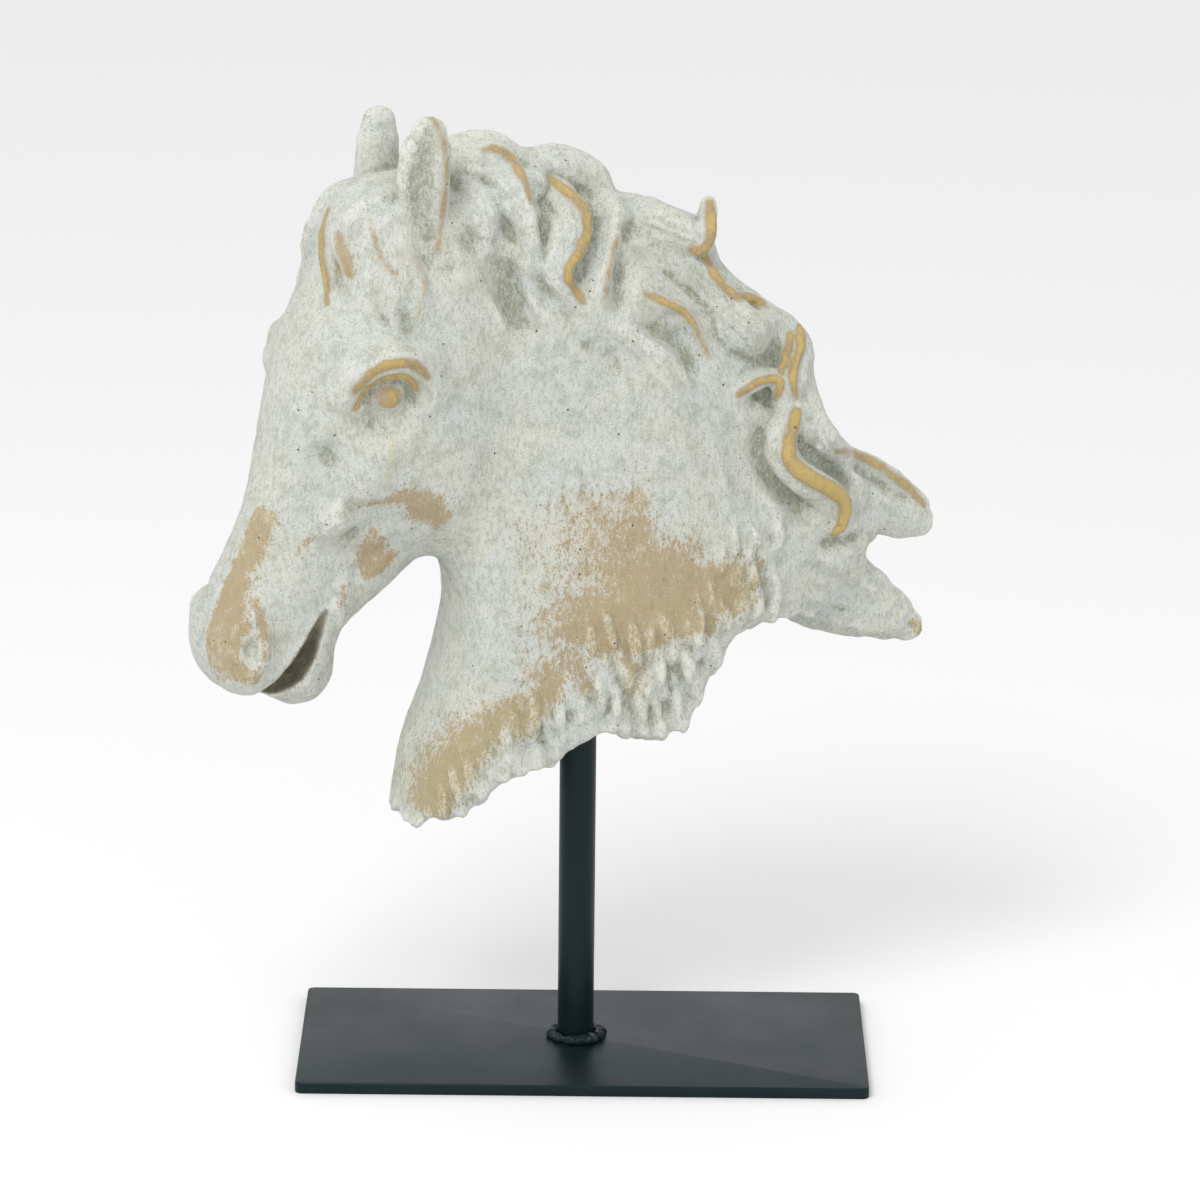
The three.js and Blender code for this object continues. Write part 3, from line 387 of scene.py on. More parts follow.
class Modeller:
    """Lays relief on the clay. Lines are drawn in a plane, as (x, z, radius) or (x, y, z, radius) stations,
    and pressed onto the clay from one side. After them come the stroke's height or depth and the
    softness of its seam, all in grid millimetres."""

    def __init__(self, clay, side, in_head=False, from_front=0.0, drop=0.0, strength=1.0):
        self.clay, self.side, self.in_head, self.drop, self.strength = clay, side, in_head, drop, strength
        self.press = np.array([math.sin(from_front), -side * math.cos(from_front), 0])
        if in_head:
            self.press = head_to_neck(self.press + [HEAD_PIVOT, 0, 0]) - head_to_neck([HEAD_PIVOT, 0, 0])

    def lay(self, stations, steps):
        """Points on the clay's skin under a smooth line, with their radii."""
        line = spline(stations, steps)
        if line.shape[1] == 3:
            line = np.insert(line, 1, 0, axis=1)
        points = line[:, :3] * [1, -self.side, 1] + [0, 0, self.drop]
        radii = np.maximum(line[:, 3], THINNEST)
        if self.in_head:
            points = head_to_neck(points)
        return self.clay.skin(points, self.press), radii

    def _stroke(self, stations, most, soft, steps):
        """A stroke's points and radii, and how far it goes at each: it runs out at both ends."""
        points, radii = self.lay(stations, steps)
        run = np.linspace(0, 1, len(points))
        full = ease(0, RUN_OUT, run) * (1 - ease(1 - RUN_OUT, 1, run))
        return points, radii, most * self.strength * full - SUNK * soft * (1 - full)

    def fold(self, stations, height, soft=5.0, gold=0.0, reach=1.6, steps=4):
        """A raised fold that stands out by height, with gold of that strength rubbed on within reach."""
        points, radii, rise = self._stroke(stations, height, soft, steps)
        centres = points - self.press * (rise - radii)[:, None]
        self.clay.add(roll(np.column_stack([centres, radii])), soft)
        if gold:
            gilded.append((points - self.press * np.maximum(rise, 0)[:, None], reach, gold))

    def valley(self, stations, depth, soft=6.0, steps=4):
        """A rounded valley that is sunk by depth."""
        points, radii, sink = self._stroke(stations, depth, soft, steps)
        centres = points - self.press * (radii - sink)[:, None]
        self.clay.carve(roll(np.column_stack([centres, radii])), soft)

    def parting(self, stations, count, depth=0.7):
        """Fine grooves along a lock, between its strands of hair."""
        spread = 0.8
        line = spline(stations, 4)
        x, z, r = line.T
        dx, dz = np.gradient(x), np.gradient(z)
        run = np.maximum(np.hypot(dx, dz), NEARLY_ZERO)
        for n in range(count):
            aside = ((n + 1) / (count + 1) * 2 - 1) * spread * r
            thin = np.clip(r * 0.16, 0.5, 1.3)
            groove = np.stack([x - dz / run * aside, z + dx / run * aside, thin], 1)
            self.valley(groove, depth, soft=1.0, steps=1)


# The face

MOUTH = roll([(-129, 25, 219, 1), (-133, 23, 210, 3), (-137, 20, 202, 4.8), (-142, 16, 193.5, 5.6),
              (-149, 11, 186, 5.4), (-158, 3, 181, 3.5)], flat=2.2, twins=True)
NOSTRIL = lump((-165, 27, 207), (3.8, 4.5, 7.5), tilt=8)


def model_face(clay):
    def add(shape, soft):
        clay.add(in_head(shape), soft)

    def carve(shape, soft):
        clay.carve(in_head(shape), soft)

    add(lump((-93, 17, 282), (34, 21, 34)), 14)
    add(lump((-162, 11, 204), (13.5, 14, 19), tilt=10), 8)
    add(lump((-131, 0, 188), (13, 14, 12)), 6)
    add(roll([(-98, 33, 300, 5), (-112, 32, 282, 5), (-127, 26, 260, 4)], twins=True), 12)
    add(lump((-162, 19, 212), (8, 8, 12)), 5)
    carve(roll([(-132, 29, 288, 4), (-142, 26, 262, 4), (-151, 25, 238, 3)], twins=True), 10)
    carve(roll([(-120, 34, 266, 3), (-104, 37, 260, 3.5), (-88, 38, 251, 3)], twins=True), 7)
    add(roll([(-126, 34, 317, 3), (-120, 38, 326, 5), (-106, 40, 331, 6), (-93, 38, 326, 5),
              (-87, 36, 316, 4)], twins=True), 14)
    carve(lump((-107, 46, 315), (15, 8, 9)), 7)
    add(lump((-106, 33, 316), (8.5, 9.5, 8)), 2)
    carve(NOSTRIL, 1.5)
    carve(MOUTH, 1.2)
    for side in (-1, 1):
        m = Modeller(clay, side, in_head=True, strength=1 if side < 0 else 0.5)
        m.fold([(-123, 320, 2), (-118, 327.5, 2.8), (-109, 331, 3), (-99, 330, 3), (-91, 323, 2)], 1.8, 3,
               gold=0.95, reach=1.9)
        m.valley([(-120, 322, 1.2), (-113, 328, 1.8), (-104, 328, 1.8), (-94, 324, 1.2)], 1.3, 2)
        m.fold([(-120, 311, 1), (-118, 317, 1.2), (-114, 322, 1.6), (-107, 324.5, 1.8), (-99, 323, 1.8),
                (-94, 317, 1)], 1.4, 1.5, gold=0.9, reach=1.1)
        m.fold([(-117, 313, 1), (-110, 308.5, 1.3), (-101, 309, 1.3), (-96, 313, 1)], 0.8, 1.5)
        m.fold([(-111, 315.5, 3), (-103, 315, 3)], 0.2, 1, gold=0.66, reach=4.8)
        m.valley([(-118, 305, 2), (-108, 302, 3), (-97, 304, 2)], 1.2, 5)
        m.fold([(-158, 219, 1.6), (-158.5, 208, 2), (-160.5, 200, 2), (-166, 196, 1.6)], 1.2, 3)
        m.fold([(-162, 222, 1.8), (-168, 218, 2), (-170, 209, 2)], 0.8, 4)
        m.fold([(-126, 224, 2), (-122, 218, 2.2), (-121, 210, 2)], 1.2, 4)
        m.valley([(-130, 222, 2), (-127, 230, 2), (-121, 236, 2)], 0.9, 4)
        m.fold([(-137, 214, 2), (-144, 203, 2.4), (-151, 195, 2.4), (-160, 190, 2)], 0.9, 3)
        m.valley([(-120, 250, 2), (-112, 255, 2.5), (-102, 258, 2)], 1.0, 5)
        m.valley([(-117, 232, 1.5), (-109, 240, 2), (-99, 246, 1.5)], 0.8, 4)


def model_ears(clay):
    near = roll([(-79, -21, 374, 9), (-82, -22, 388, 11.5), (-83.5, -24, 402, 12.5),
                 (-83, -25, 413, 11.8), (-82, -26, 422, 8.2)], flat=0.55)
    far = roll([(-84, 19, 376, 10), (-84, 20, 395, 10.5), (-83, 21, 410, 9.5),
                (-82, 22, 418, 7.5)], flat=0.7)
    clay.add(in_head(near), 3)
    clay.add(in_head(far), 3)
    m = Modeller(clay, -1, in_head=True)
    hollow = [(-81, 370, 4), (-84, 380, 7), (-87, 391, 9), (-88, 402, 10), (-87, 414, 9), (-85, 426, 5)]
    m.valley(hollow, 2.4, 1.2)
    m.fold([(-83, 432, 1.2), (-79, 424, 1.6), (-76.5, 414, 2), (-76, 402, 2.2), (-76.5, 388, 2.2),
            (-79, 374, 1.6)], 0.9, 2, gold=0.62, reach=1.0)
    m.valley([(-92, 380, 3), (-85, 371, 3.5), (-76, 366, 3), (-68, 368, 3)], 1.4, 3)


def model_forelock(clay):
    front = Modeller(clay, -1, in_head=True, from_front=math.radians(50))
    front.fold([(-108, -4, 392, 4), (-114, -3, 385, 5), (-117, -6, 376, 5), (-120, -12, 366, 4),
                (-123, -16, 354, 2)], 2.6, 4)
    front.fold([(-113, 2, 388, 1.5), (-117, -1, 380, 2), (-119, -5, 371, 2), (-122, -12, 362, 1.6),
                (-124, -15, 352, 1)], 3.6, 2, gold=0.9, reach=1.2)
    front.valley([(-110, -10, 390, 2), (-114, -12, 380, 2.5), (-118, -18, 368, 2.5),
                  (-121, -22, 354, 2)], 1.6, 4)
    for side in (-1, 1):
        m = Modeller(clay, side, in_head=True)
        locks = [
            ([(-92, 393, 4), (-104, 390, 6), (-112, 382, 6), (-113, 370, 5), (-115, 354, 3)], 3.0),
            ([(-90, 388, 4), (-100, 384, 5.5), (-106, 376, 6), (-108, 364, 5), (-110, 348, 3)], 2.8),
            ([(-86, 382, 4), (-95, 378, 5), (-101, 370, 5.5), (-100, 360, 5), (-101, 347, 3)], 2.6),
            ([(-84, 376, 4), (-92, 371, 5), (-93, 362, 5), (-90, 352, 4), (-93, 342, 2.5)], 2.4),
        ]
        for stations, height in locks:
            m.fold(stations, height, 4)
            m.parting(stations, 2, 0.6)
        m.fold([(-117, 380, 2), (-118, 373, 2.4), (-117, 365, 2)], 0.8, 3, gold=0.72, reach=1.6)
        m.fold([(-107, 387, 1.6), (-108, 379, 1.8), (-106, 372, 1.6),
                (-101, 366, 1.2)], 1.2, 2.5, gold=0.6, reach=0.8)
        m.fold([(-99, 375, 1.2), (-93, 370, 1.6), (-89, 364, 1.6), (-90, 356, 1.4),
                (-93, 346, 1)], 1.4, 2, gold=0.5, reach=0.4)
        m.valley([(-112, 362, 2), (-109, 352, 2), (-104, 345, 2)], 1.2, 3)
        m.valley([(-100, 352, 2), (-96, 342, 2)], 1.2, 3)


# The mane

def model_mane(clay):
    masses = [
        ([(-64, 403, 9), (-46, 407, 9.5), (-35, 401, 9), (-30, 384, 7)], -1),
        ([(-30, 397, 9), (-14, 400, 9.5), (1, 395, 8.5), (4, 389, 8)], 1),
        ([(-64, 400, 9), (-46, 404, 9), (-34, 397, 9)], 1),
        ([(6, 382, 7), (24, 378, 7.5), (40, 372, 7.5), (50, 371, 6), (54, 382, 2.5)], -1),
        ([(6, 378, 7), (24, 374, 7.5), (40, 368, 7.5), (50, 362, 6)], 1),
        ([(46, 366, 7), (53, 353, 6.5), (62, 344, 6), (70, 339, 5.5), (78, 334, 4)], -1),
        ([(46, 362, 7), (53, 350, 6.5), (62, 341, 6), (74, 332, 5)], 1),
        ([(64, 328, 7), (82, 325, 8.5), (90, 315, 8.5), (92, 300, 8.5), (95, 284, 8.5),
          (98, 268, 8)], -1),
    ]
    for stations, side in masses:
        clay.add(lock(neck, stations, side), 4)
    near, far = Modeller(clay, -1, strength=1.9), Modeller(clay, 1, drop=-6, strength=1.5)
    locks = [
        ([(-62, 380, 5), (-58, 368, 6), (-53, 355, 6), (-45, 342, 5), (-38, 329, 3)], 2.6, 2),
        ([(-28, 360, 5), (-24, 348, 6), (-16, 338, 6), (-8, 329, 5), (1, 316, 3)], 2.2, 2),
        ([(2, 342, 6), (16, 331, 7), (28, 319, 7), (38, 304, 6), (45, 286, 4)], 2.2, 2),
        ([(20, 366, 9), (34, 360, 11), (46, 350, 11), (58, 338, 10), (69, 326, 9), (75, 314, 6)], 4, 3),
        ([(-60, 398, 6), (-51, 393, 7), (-47, 382, 7), (-42, 372, 7), (-34, 365, 6), (-31, 354, 5),
          (-27, 341, 3)], 3.5, 2),
        ([(2, 388, 7), (5, 376, 8), (0, 364, 7), (-3, 352, 6), (0, 339, 4)], 3, 2),
        ([(-64, 402, 8), (-53, 403, 10), (-43, 400, 10), (-35, 392, 8), (-31, 380, 6), (-28, 368, 5),
          (-27, 356, 3)], 4.5, 2),
        ([(-27, 394, 8), (-16, 389, 9), (-11, 379, 9), (-15, 368, 7), (-18, 358, 6), (-13, 347, 5),
          (-6, 340, 3)], 4.5, 3),
        ([(8, 379, 8), (25, 377, 9), (38, 372, 8), (47, 369, 6), (52, 375, 4), (53, 382, 2)], 4, 2),
    ]
    for stations, height, strands in locks:
        for m in (near, far):
            m.fold(stations, height, 3)
            m.parting(stations, strands)
    valleys = [
        ([(-66, 372, 2.5), (-56, 378, 3.5), (-53, 366, 3.5), (-46, 352, 3.5), (-38, 338, 2)], 1.6),
        ([(-36, 366, 2), (-24, 352, 3.5), (-15, 344, 3.5), (-8, 336, 3)], 1.8),
        ([(-38, 389, 4), (-39, 375, 5), (-39, 360, 5.5), (-33, 342, 5), (-22, 327, 3.5)], 3.2),
        ([(2, 393, 3), (3, 382, 4), (0, 369, 4), (-6, 359, 4), (-3, 345, 3)], 2.8),
        ([(-24, 341, 4), (-8, 331, 7), (6, 321, 7), (5, 300, 4)], 2.0),
        ([(14, 366, 4), (11, 354, 4), (11, 341, 3)], 2.2),
        ([(14, 343, 4), (26, 336, 5.5), (37, 329, 5.5), (44, 316, 4), (50, 300, 3)], 3.2),
        ([(50, 312, 4), (59, 278, 4), (71, 244, 3)], 1.5),
        ([(60, 297, 3), (67, 270, 4), (79, 238, 3)], 1.6),
        ([(36, 318, 3), (45, 290, 4), (55, 258, 3)], 1.2),
    ]
    for stations, depth in valleys:
        near.valley(stations, depth)
        far.valley(stations, depth)
    crests = [
        ([(-46, 410, 2), (-39, 410, 2.4), (-34, 406, 2.4), (-31, 400, 2.2),
          (-29, 393, 1.4)], 1.5, 0.9, 1.3),
        ([(-17, 396, 1.5), (-9, 391, 2.4), (-4, 385, 2.8), (-4, 376, 3), (-8, 369, 3), (-13, 364, 2.4),
          (-12, 356, 2), (-6, 348, 1.4)], 2, 1, 1.8),
        ([(10, 373, 1.5), (6, 363, 2), (4, 356, 2), (4, 345, 1.2)], 1.2, 0.6, 1.0),
        ([(53, 382, 1.4), (52, 372, 2.2), (48, 364, 2.6), (43, 366, 1.6)], 1.6, 0.95, 2.0),
        ([(50, 361, 1.6), (55, 352, 2.2), (62, 345, 2.4), (72, 341, 2.2), (79, 335, 1.6)], 1.8, 0.9, 1.2),
        ([(21, 349, 1.4), (32, 344, 2), (40, 339, 2), (45, 331, 1.8), (50, 320, 1)], 1.5, 0.75, 1.1),
    ]
    for stations, height, gold, reach in crests:
        near.fold(stations, height, 2.5, gold=gold, reach=reach)
        far.fold(stations, height, 2.5, gold=gold / 2, reach=reach)
    model_back_locks(clay, near, far)


def model_back_locks(clay, near, far):
    """The free locks at the back of the neck."""
    for stations, flat, soft in (
            ([(90, 5, 255, 14), (112, 7, 254, 17), (130, 7, 246, 16.5), (143, 7, 239.5, 12.5),
              (149.5, 7, 235, 8)], 0.55, 6),
            ([(86, 10, 222, 20), (108, 9, 206, 20), (124, 8, 199, 17), (137, 7, 193, 12),
              (146, 7, 187.5, 7.5)], 0.6, 6)):
        clay.add(roll(stations, flat), soft)
    behind = [(92, 303, 5), (97, 290, 6), (104, 276, 7.5), (112, 263, 8), (117, 250, 7), (117, 240, 4)]
    long_s = [(72, 330, 6), (83, 326, 8), (91, 318, 8), (90, 309, 7), (86, 301, 6), (87, 292, 6),
              (83, 282, 6.5), (84, 273, 7), (91, 265, 7.5), (101, 258, 7.5), (109, 250, 7),
              (111, 242, 5.5), (108, 235, 3)]
    hook = [(60, 300, 3), (66, 305, 4), (74, 308, 4.5), (81, 306, 4), (80, 298, 3)]
    for m in (near, far):
        m.fold(behind, 3, 5)
        m.parting(behind, 2)
        m.valley([(73, 298, 4), (74, 285, 5), (75, 272, 5), (83, 260, 5), (93, 250, 5), (101, 241, 4)], 3)
        m.fold(long_s, 4.5, 4)
        m.parting(long_s, 2, 0.6)
        m.valley([(97, 284, 3), (96, 274, 3), (104, 268, 3.5), (114, 258, 3.5), (118, 247, 3)], 2.5, 3)
        m.fold(hook, 3, 3)
        m.valley([(70, 300, 2), (76, 301, 3), (77, 295, 2)], 2, 2)
        gold = 1 if m is near else 0.5
        m.fold([(89, 293, 1.8), (86, 282, 2.4), (86, 273, 3), (95, 265, 3.4), (106, 258, 3.4),
                (113, 250, 3), (112, 241, 2.4), (108, 234, 1.6)], 1.8, 3, gold=gold, reach=3.0)
        m.fold([(93, 327, 1.2), (92, 319, 1.6), (88, 311, 1.4),
                (89, 300, 1)], 1.3, 2, gold=gold, reach=1.8)
        m.fold([(88, 325, 1.2), (86, 317, 1.5), (83, 310, 1.2)], 1.2, 2, gold=gold, reach=1.4)
        m.fold([(63, 303, 1.2), (68, 307, 1.6), (75, 309, 1.8), (82, 307, 1.6),
                (80, 299, 1)], 1.3, 2, gold=gold, reach=1.3)
    near.valley([(112, 270, 2), (125, 260, 3), (140, 249, 3), (150, 240, 2)], 1.6, 3)
    near.fold([(108, 274, 1.5), (128, 264, 2), (143, 253, 2),
               (152, 243, 1.6)], 0.8, 3, gold=0.9, reach=1.0)
    near.valley([(100, 232, 3), (114, 232, 3), (124, 232, 2)], 2, 4)
    for n in range(3):
        lower = [(92, 226 - 9 * n, 2.5), (108, 216 - 8 * n, 3), (122, 206 - 6 * n, 2.5),
                 (136, 196 - 4 * n, 2)]
        near.valley(lower, 1.2, 3)
        far.valley(lower, 1.2, 3)


def break_height(x, y):
    """Height of the rough break under the neck: it climbs from the front to the mane."""
    line = along([(-88, 113), (-66, 122), (-27, 142), (4, 157), (20, 154), (38, 155), (45, 167),
                  (52, 182), (64, 196), (78, 199), (100, 199)], x)
    lumps = 2.6 * np.sin(0.19 * x + 0.8) * np.sin(0.17 * y + 0.4)
    pebbles = 1.5 * np.sin(0.41 * x) * np.sin(0.33 * y + 1)
    return line + (lumps + pebbles)


def model_tufts(clay):
    """Short hanging tufts of hair above the break, in staggered rows that reach highest in the middle."""
    rows, tufts_in_row, gap_along, gap_up = 5, 19, 8, 10
    first_x, first_height = -66, 7
    rng = np.random.default_rng(11)
    for side in (-1, 1):
        m = Modeller(clay, side)
        for row in range(rows):
            for n in range(tufts_in_row):
                x = first_x + gap_along * n + gap_along / 2 * (row % 2) + rng.uniform(-2, 2)
                z = float(break_height(x, 0)) + first_height + gap_up * row + rng.uniform(-3, 3)
                most = 66 - 0.3 * abs(x - 20)
                if z - break_height(x, 0) > most * (0.55 + 0.45 * ease(-30, 20, x)):
                    continue
                length, width = rng.uniform(6, 11), rng.uniform(2.2, 3.8)
                lean = rng.uniform(-1, 4)
                m.fold([(x - lean, z + length, 1.2), (x, z, width), (x + lean * 0.6, z - length, 1)],
                       rng.uniform(2.0, 3.6), 1.8, steps=4)


def model_horse():
    """The whole horse in clay. The break is cut again after the tufts, so that none hangs over it."""
    clay = Clay(BLOCK_LOW, BLOCK_HIGH, CELL)
    clay.add(neck, 1)
    slope = 0.8  # turns a height over the break into about a distance
    below = Shape((-110, -76, 80), (110, 62, 230), lambda x, y, z: (z - break_height(x, y)) * slope)
    clay.carve(below, 2)
    model_tufts(clay)
    clay.carve(below, 3)
    clay.add(in_head(head), 16)
    model_face(clay)
    model_mane(clay)
    model_forelock(clay)
    model_ears(clay)
    return clay


# Mesh work

def make_object(name, mesh):
    obj = bpy.data.objects.new(name, mesh)
    bpy.context.scene.collection.objects.link(obj)
    return obj


def pick(obj):
    bpy.ops.object.select_all(action="DESELECT")
    obj.select_set(True)
    bpy.context.view_layer.objects.active = obj


def coordinates(mesh):
    co = np.empty(len(mesh.vertices) * 3, np.float32)
    mesh.vertices.foreach_get("co", co)
    return co.reshape(-1, 3).astype(float)


def to_world(points):
    """From the clay's grid to metres in the frame."""
    c, s = math.cos(NECK_TURN), math.sin(NECK_TURN)
    x, y, z = (points - GRID_ENTRY).T * MM
    mouth = POST_HIGH.z - SOCKET_DEPTH
    return np.stack([POST_AXIS.x + x * c - y * s, POST_AXIS.y + x * s + y * c, mouth + z], 1)


def to_grid(points):
    c, s = math.cos(NECK_TURN), math.sin(NECK_TURN)
    mouth = POST_HIGH.z - SOCKET_DEPTH
    x, y, z = ((points - [POST_AXIS.x, POST_AXIS.y, mouth]) / MM).T
    return np.stack([x * c + y * s, y * c - x * s, z], 1) + GRID_ENTRY


def ripple(points, wavelength, seed, waves=14):
    """Soft unevenness: a sum of waves in all directions, about -1 to 1."""
    rng = np.random.default_rng(seed)
    usual_peak = 1.6
    total = 0
    for _ in range(waves):
        way = rng.normal(size=3)
        way *= 2 * math.pi / (np.linalg.norm(way) * wavelength * rng.uniform(0.7, 1.4))
        total = total + np.sin(points @ way + rng.uniform(0, 2 * math.pi))
    return total / math.sqrt(waves / 2) / usual_peak


def build_horse():
    """The clay's surface as a mesh, thinned, roughened and marked for its paint."""
    clay = model_horse()
    points, quads = clay.surface()
    mesh = bpy.data.meshes.new("horse")
    mesh.from_pydata(to_world(points).tolist(), [], quads.tolist())
    horse = make_object("horse", mesh)
    pick(horse)
    faces = 2 * len(quads)
    if faces > HORSE_TRIANGLES:
        thinner = horse.modifiers.new("thinner", "DECIMATE")
        thinner.ratio = HORSE_TRIANGLES / faces
        bpy.ops.object.modifier_apply(modifier=thinner.name)
    bpy.ops.object.shade_smooth()
    add_unevenness(horse)
    add_paint_masks(horse, clay)
    return horse


def vertex_normals(mesh):
    n = np.empty(len(mesh.vertices) * 3, np.float32)
    mesh.vertex_normals.foreach_get("vector", n)
    return n.reshape(-1, 3).astype(float)


def add_unevenness(horse):
    """Moves the skin in and out a little, more near the break, and keeps it inside the solid's box."""
    mesh = horse.data
    co, normal = coordinates(mesh), vertex_normals(mesh)
    grid = to_grid(co)
    near_break = 1 - ease(2, 14, grid[:, 2] - break_height(grid[:, 0], grid[:, 1]))
    broad, small, crumbs = ripple(grid, 24, 1), ripple(grid, 7, 2), ripple(grid, 6, 3)
    move = 0.22 * broad + 0.18 * small + 0.25 * near_break * crumbs
    co += normal * (move * MM)[:, None]
    inset = 0.05 * MM
    co = np.clip(co, np.array(HORSE_LOW) + inset, np.array(HORSE_HIGH) - inset)
    mesh.vertices.foreach_set("co", co.astype(np.float32).ravel())
    mesh.update()


# Tan showing through the chalk: strokes of (x, z, half-width) in the neck's or the head's plane, and
# how softly each group fades out.
TAN_ON_NECK = (
    [(19, 264, 1), (18, 252, 4), (18, 242, 8)],
    [(12, 232, 7), (36, 232, 9)],
    [(6, 223, 7), (60, 223, 8)],
    [(-4, 214, 8), (62, 215, 7)],
    [(-11, 206, 7), (48, 207, 6)],
    [(-16, 198, 7), (-21, 182, 6), (-27, 171, 5), (-34, 166, 5)],
    [(2, 199, 6), (26, 200, 5)],
    [(13, 190, 3), (16, 180, 2)],
    [(-36, 175, 3), (-42, 169, 6), (-55, 158, 9), (-64, 145, 10), (-72, 131, 7)],
    [(-8, 192, 3), (-6, 180, 2)],
)
TAN_ON_NECK_SOFT = 8
TAN_ON_NOSE = (
    [(-152, 261, 4), (-158, 249, 5), (-165, 238, 5), (-171, 224, 6), (-173, 211, 7), (-170, 200, 6),
     (-164, 196, 4)],
    [(-160, 227, 2.2), (-159, 216, 2.2), (-160, 206, 2.4), (-164, 198, 3)],
    [(-117, 376, 1.5), (-118, 366, 1.5)],
)
TAN_ON_CHEEK = (
    [(-118, 267, 0.5), (-104, 269, 2), (-97, 270, 4), (-88, 264, 7), (-80, 258, 4)],
    [(-108, 253, 2), (-110, 242, 4), (-107, 235, 4), (-98, 240, 3)],
    [(-104, 248, 2), (-103, 241, 4)],
    [(-120, 228, 1.5), (-121, 223, 1)],
    [(-136, 252, 1), (-141, 246, 1)],
)
TAN_ON_HEAD_SOFT = 3.5
# Painted shade and grime inside the near ear's hollow.
GRIME_AND_SHADE_IN_EAR = ([(-80, 371, 2), (-85, 386, 5), (-88, 400, 6), (-86, 416, 5), (-84, 424, 3)],)
BARE_SLIVER = ([(74, 229, 1.2), (68, 217, 1.6)], [(149, 190, 2), (152, 184, 2)])
YELLOW_STAIN = ([(-105, 297, 0.5), (-106, 286, 1), (-108, 277, 0.5)],)


GOLD_CORE, GOLD_FADE = 1.2, 3.0  # how far in and out of a gilded line's edge the gold fades


def smear(u, w, strokes, soft):
    """Strokes of paint in a plane: 1 in the middle of each, fading to 0 over twice the length soft."""
    best = np.full(len(u), np.inf)
    for stations in strokes:
        for (au, aw, ar), (bu, bw, br) in zip(stations, stations[1:]):
            eu, ew = bu - au, bw - aw
            t = np.clip(((u - au) * eu + (w - aw) * ew) / (eu * eu + ew * ew), 0, 1)
            best = np.minimum(best, np.hypot(u - au - t * eu, w - aw - t * ew) - ar - (br - ar) * t)
    return 1 - ease(-soft, soft, best)


def add_paint_masks(horse, clay):
    """Where the finish changes, kept on the points: gold on edges, tan patches, grey patina and painted
    shade in hollows, painted highlight on ridges, painted shade in the mouth.
    """
    mesh = horse.data
    grid = to_grid(coordinates(mesh))
    x, y, z = grid.T
    c, s = math.cos(HEAD_TURN), math.sin(HEAD_TURN)
    hx = HEAD_PIVOT + (x - HEAD_PIVOT) * c + y * s
    hy = y * c - (x - HEAD_PIVOT) * s
    flat = 0.5  # the fullness of flat clay
    fine, broad = clay.fullness(grid, 2.5), clay.fullness(grid, 6)
    gilt = np.zeros(len(x))
    for points, reach, strength in gilded:
        thick = reach * np.sin(np.linspace(0.12, 0.94, len(points)) * math.pi) ** 0.7
        line = roll(np.column_stack([points, thick]))
        near = np.all((grid > line.low - GOLD_FADE) & (grid < line.high + GOLD_FADE), 1)
        d = line.distance(*grid[near].T)
        gilt[near] = np.maximum(gilt[near], strength * (1 - ease(-GOLD_CORE, GOLD_FADE, d)))
    # Painted highlight: convex places, with less clay around them, get lighter chalk and lighter tan,
    # besides the cleaner chalk the finish has on its ridges.
    ridge = ease(0.02, 0.14, flat - fine)
    above = z - break_height(x, y)
    in_face = 1 - ease(-60, -50, hx)
    near_side = ease(3, 9, -hy)
    tan = np.maximum(smear(x, z, TAN_ON_NECK, TAN_ON_NECK_SOFT), smear(x, z, BARE_SLIVER, 1.5))
    tan = np.maximum(tan, smear(hx, z, TAN_ON_NOSE, TAN_ON_HEAD_SOFT) * in_face * near_side)
    tan = np.maximum(tan, smear(hx, z, TAN_ON_CHEEK, TAN_ON_HEAD_SOFT) * in_face)
    past_nostril = ease(0.2, 1.4, NOSTRIL.distance(hx, hy, z))
    # Painted shade: the chalk darkens where more clay lies around a point, in hollows, on top of the
    # grey-olive patina the finish has there.
    hollow = np.clip(ease(0.03, 0.2, fine - flat) + ease(0.04, 0.2, broad - flat), 0, 1)
    # The near ear's hollow gets more of the same painted shade and grime.
    hollow = np.maximum(hollow, 0.8 * smear(hx, z, GRIME_AND_SHADE_IN_EAR, 3) * in_face * ease(14, 18, -hy))
    # Painted shade: the walls of the carved mouth are darkened.
    in_mouth = 1 - ease(0.1, 1.2, MOUTH.distance(hx, hy, z))
    masks = {
        "gilt": gilt,
        "tan": tan * past_nostril,
        "ridge": ridge,
        "hollow": hollow * past_nostril,
        "low": 1 - ease(10, 60, above),
        "mouth": in_mouth * in_face,
        "stain": smear(hx, z, YELLOW_STAIN, 3) * in_face,
    }
    for name, values in masks.items():
        layer = mesh.attributes.new(name, "FLOAT", "POINT")
        layer.data.foreach_set("value", np.asarray(values, np.float32))


# Materials

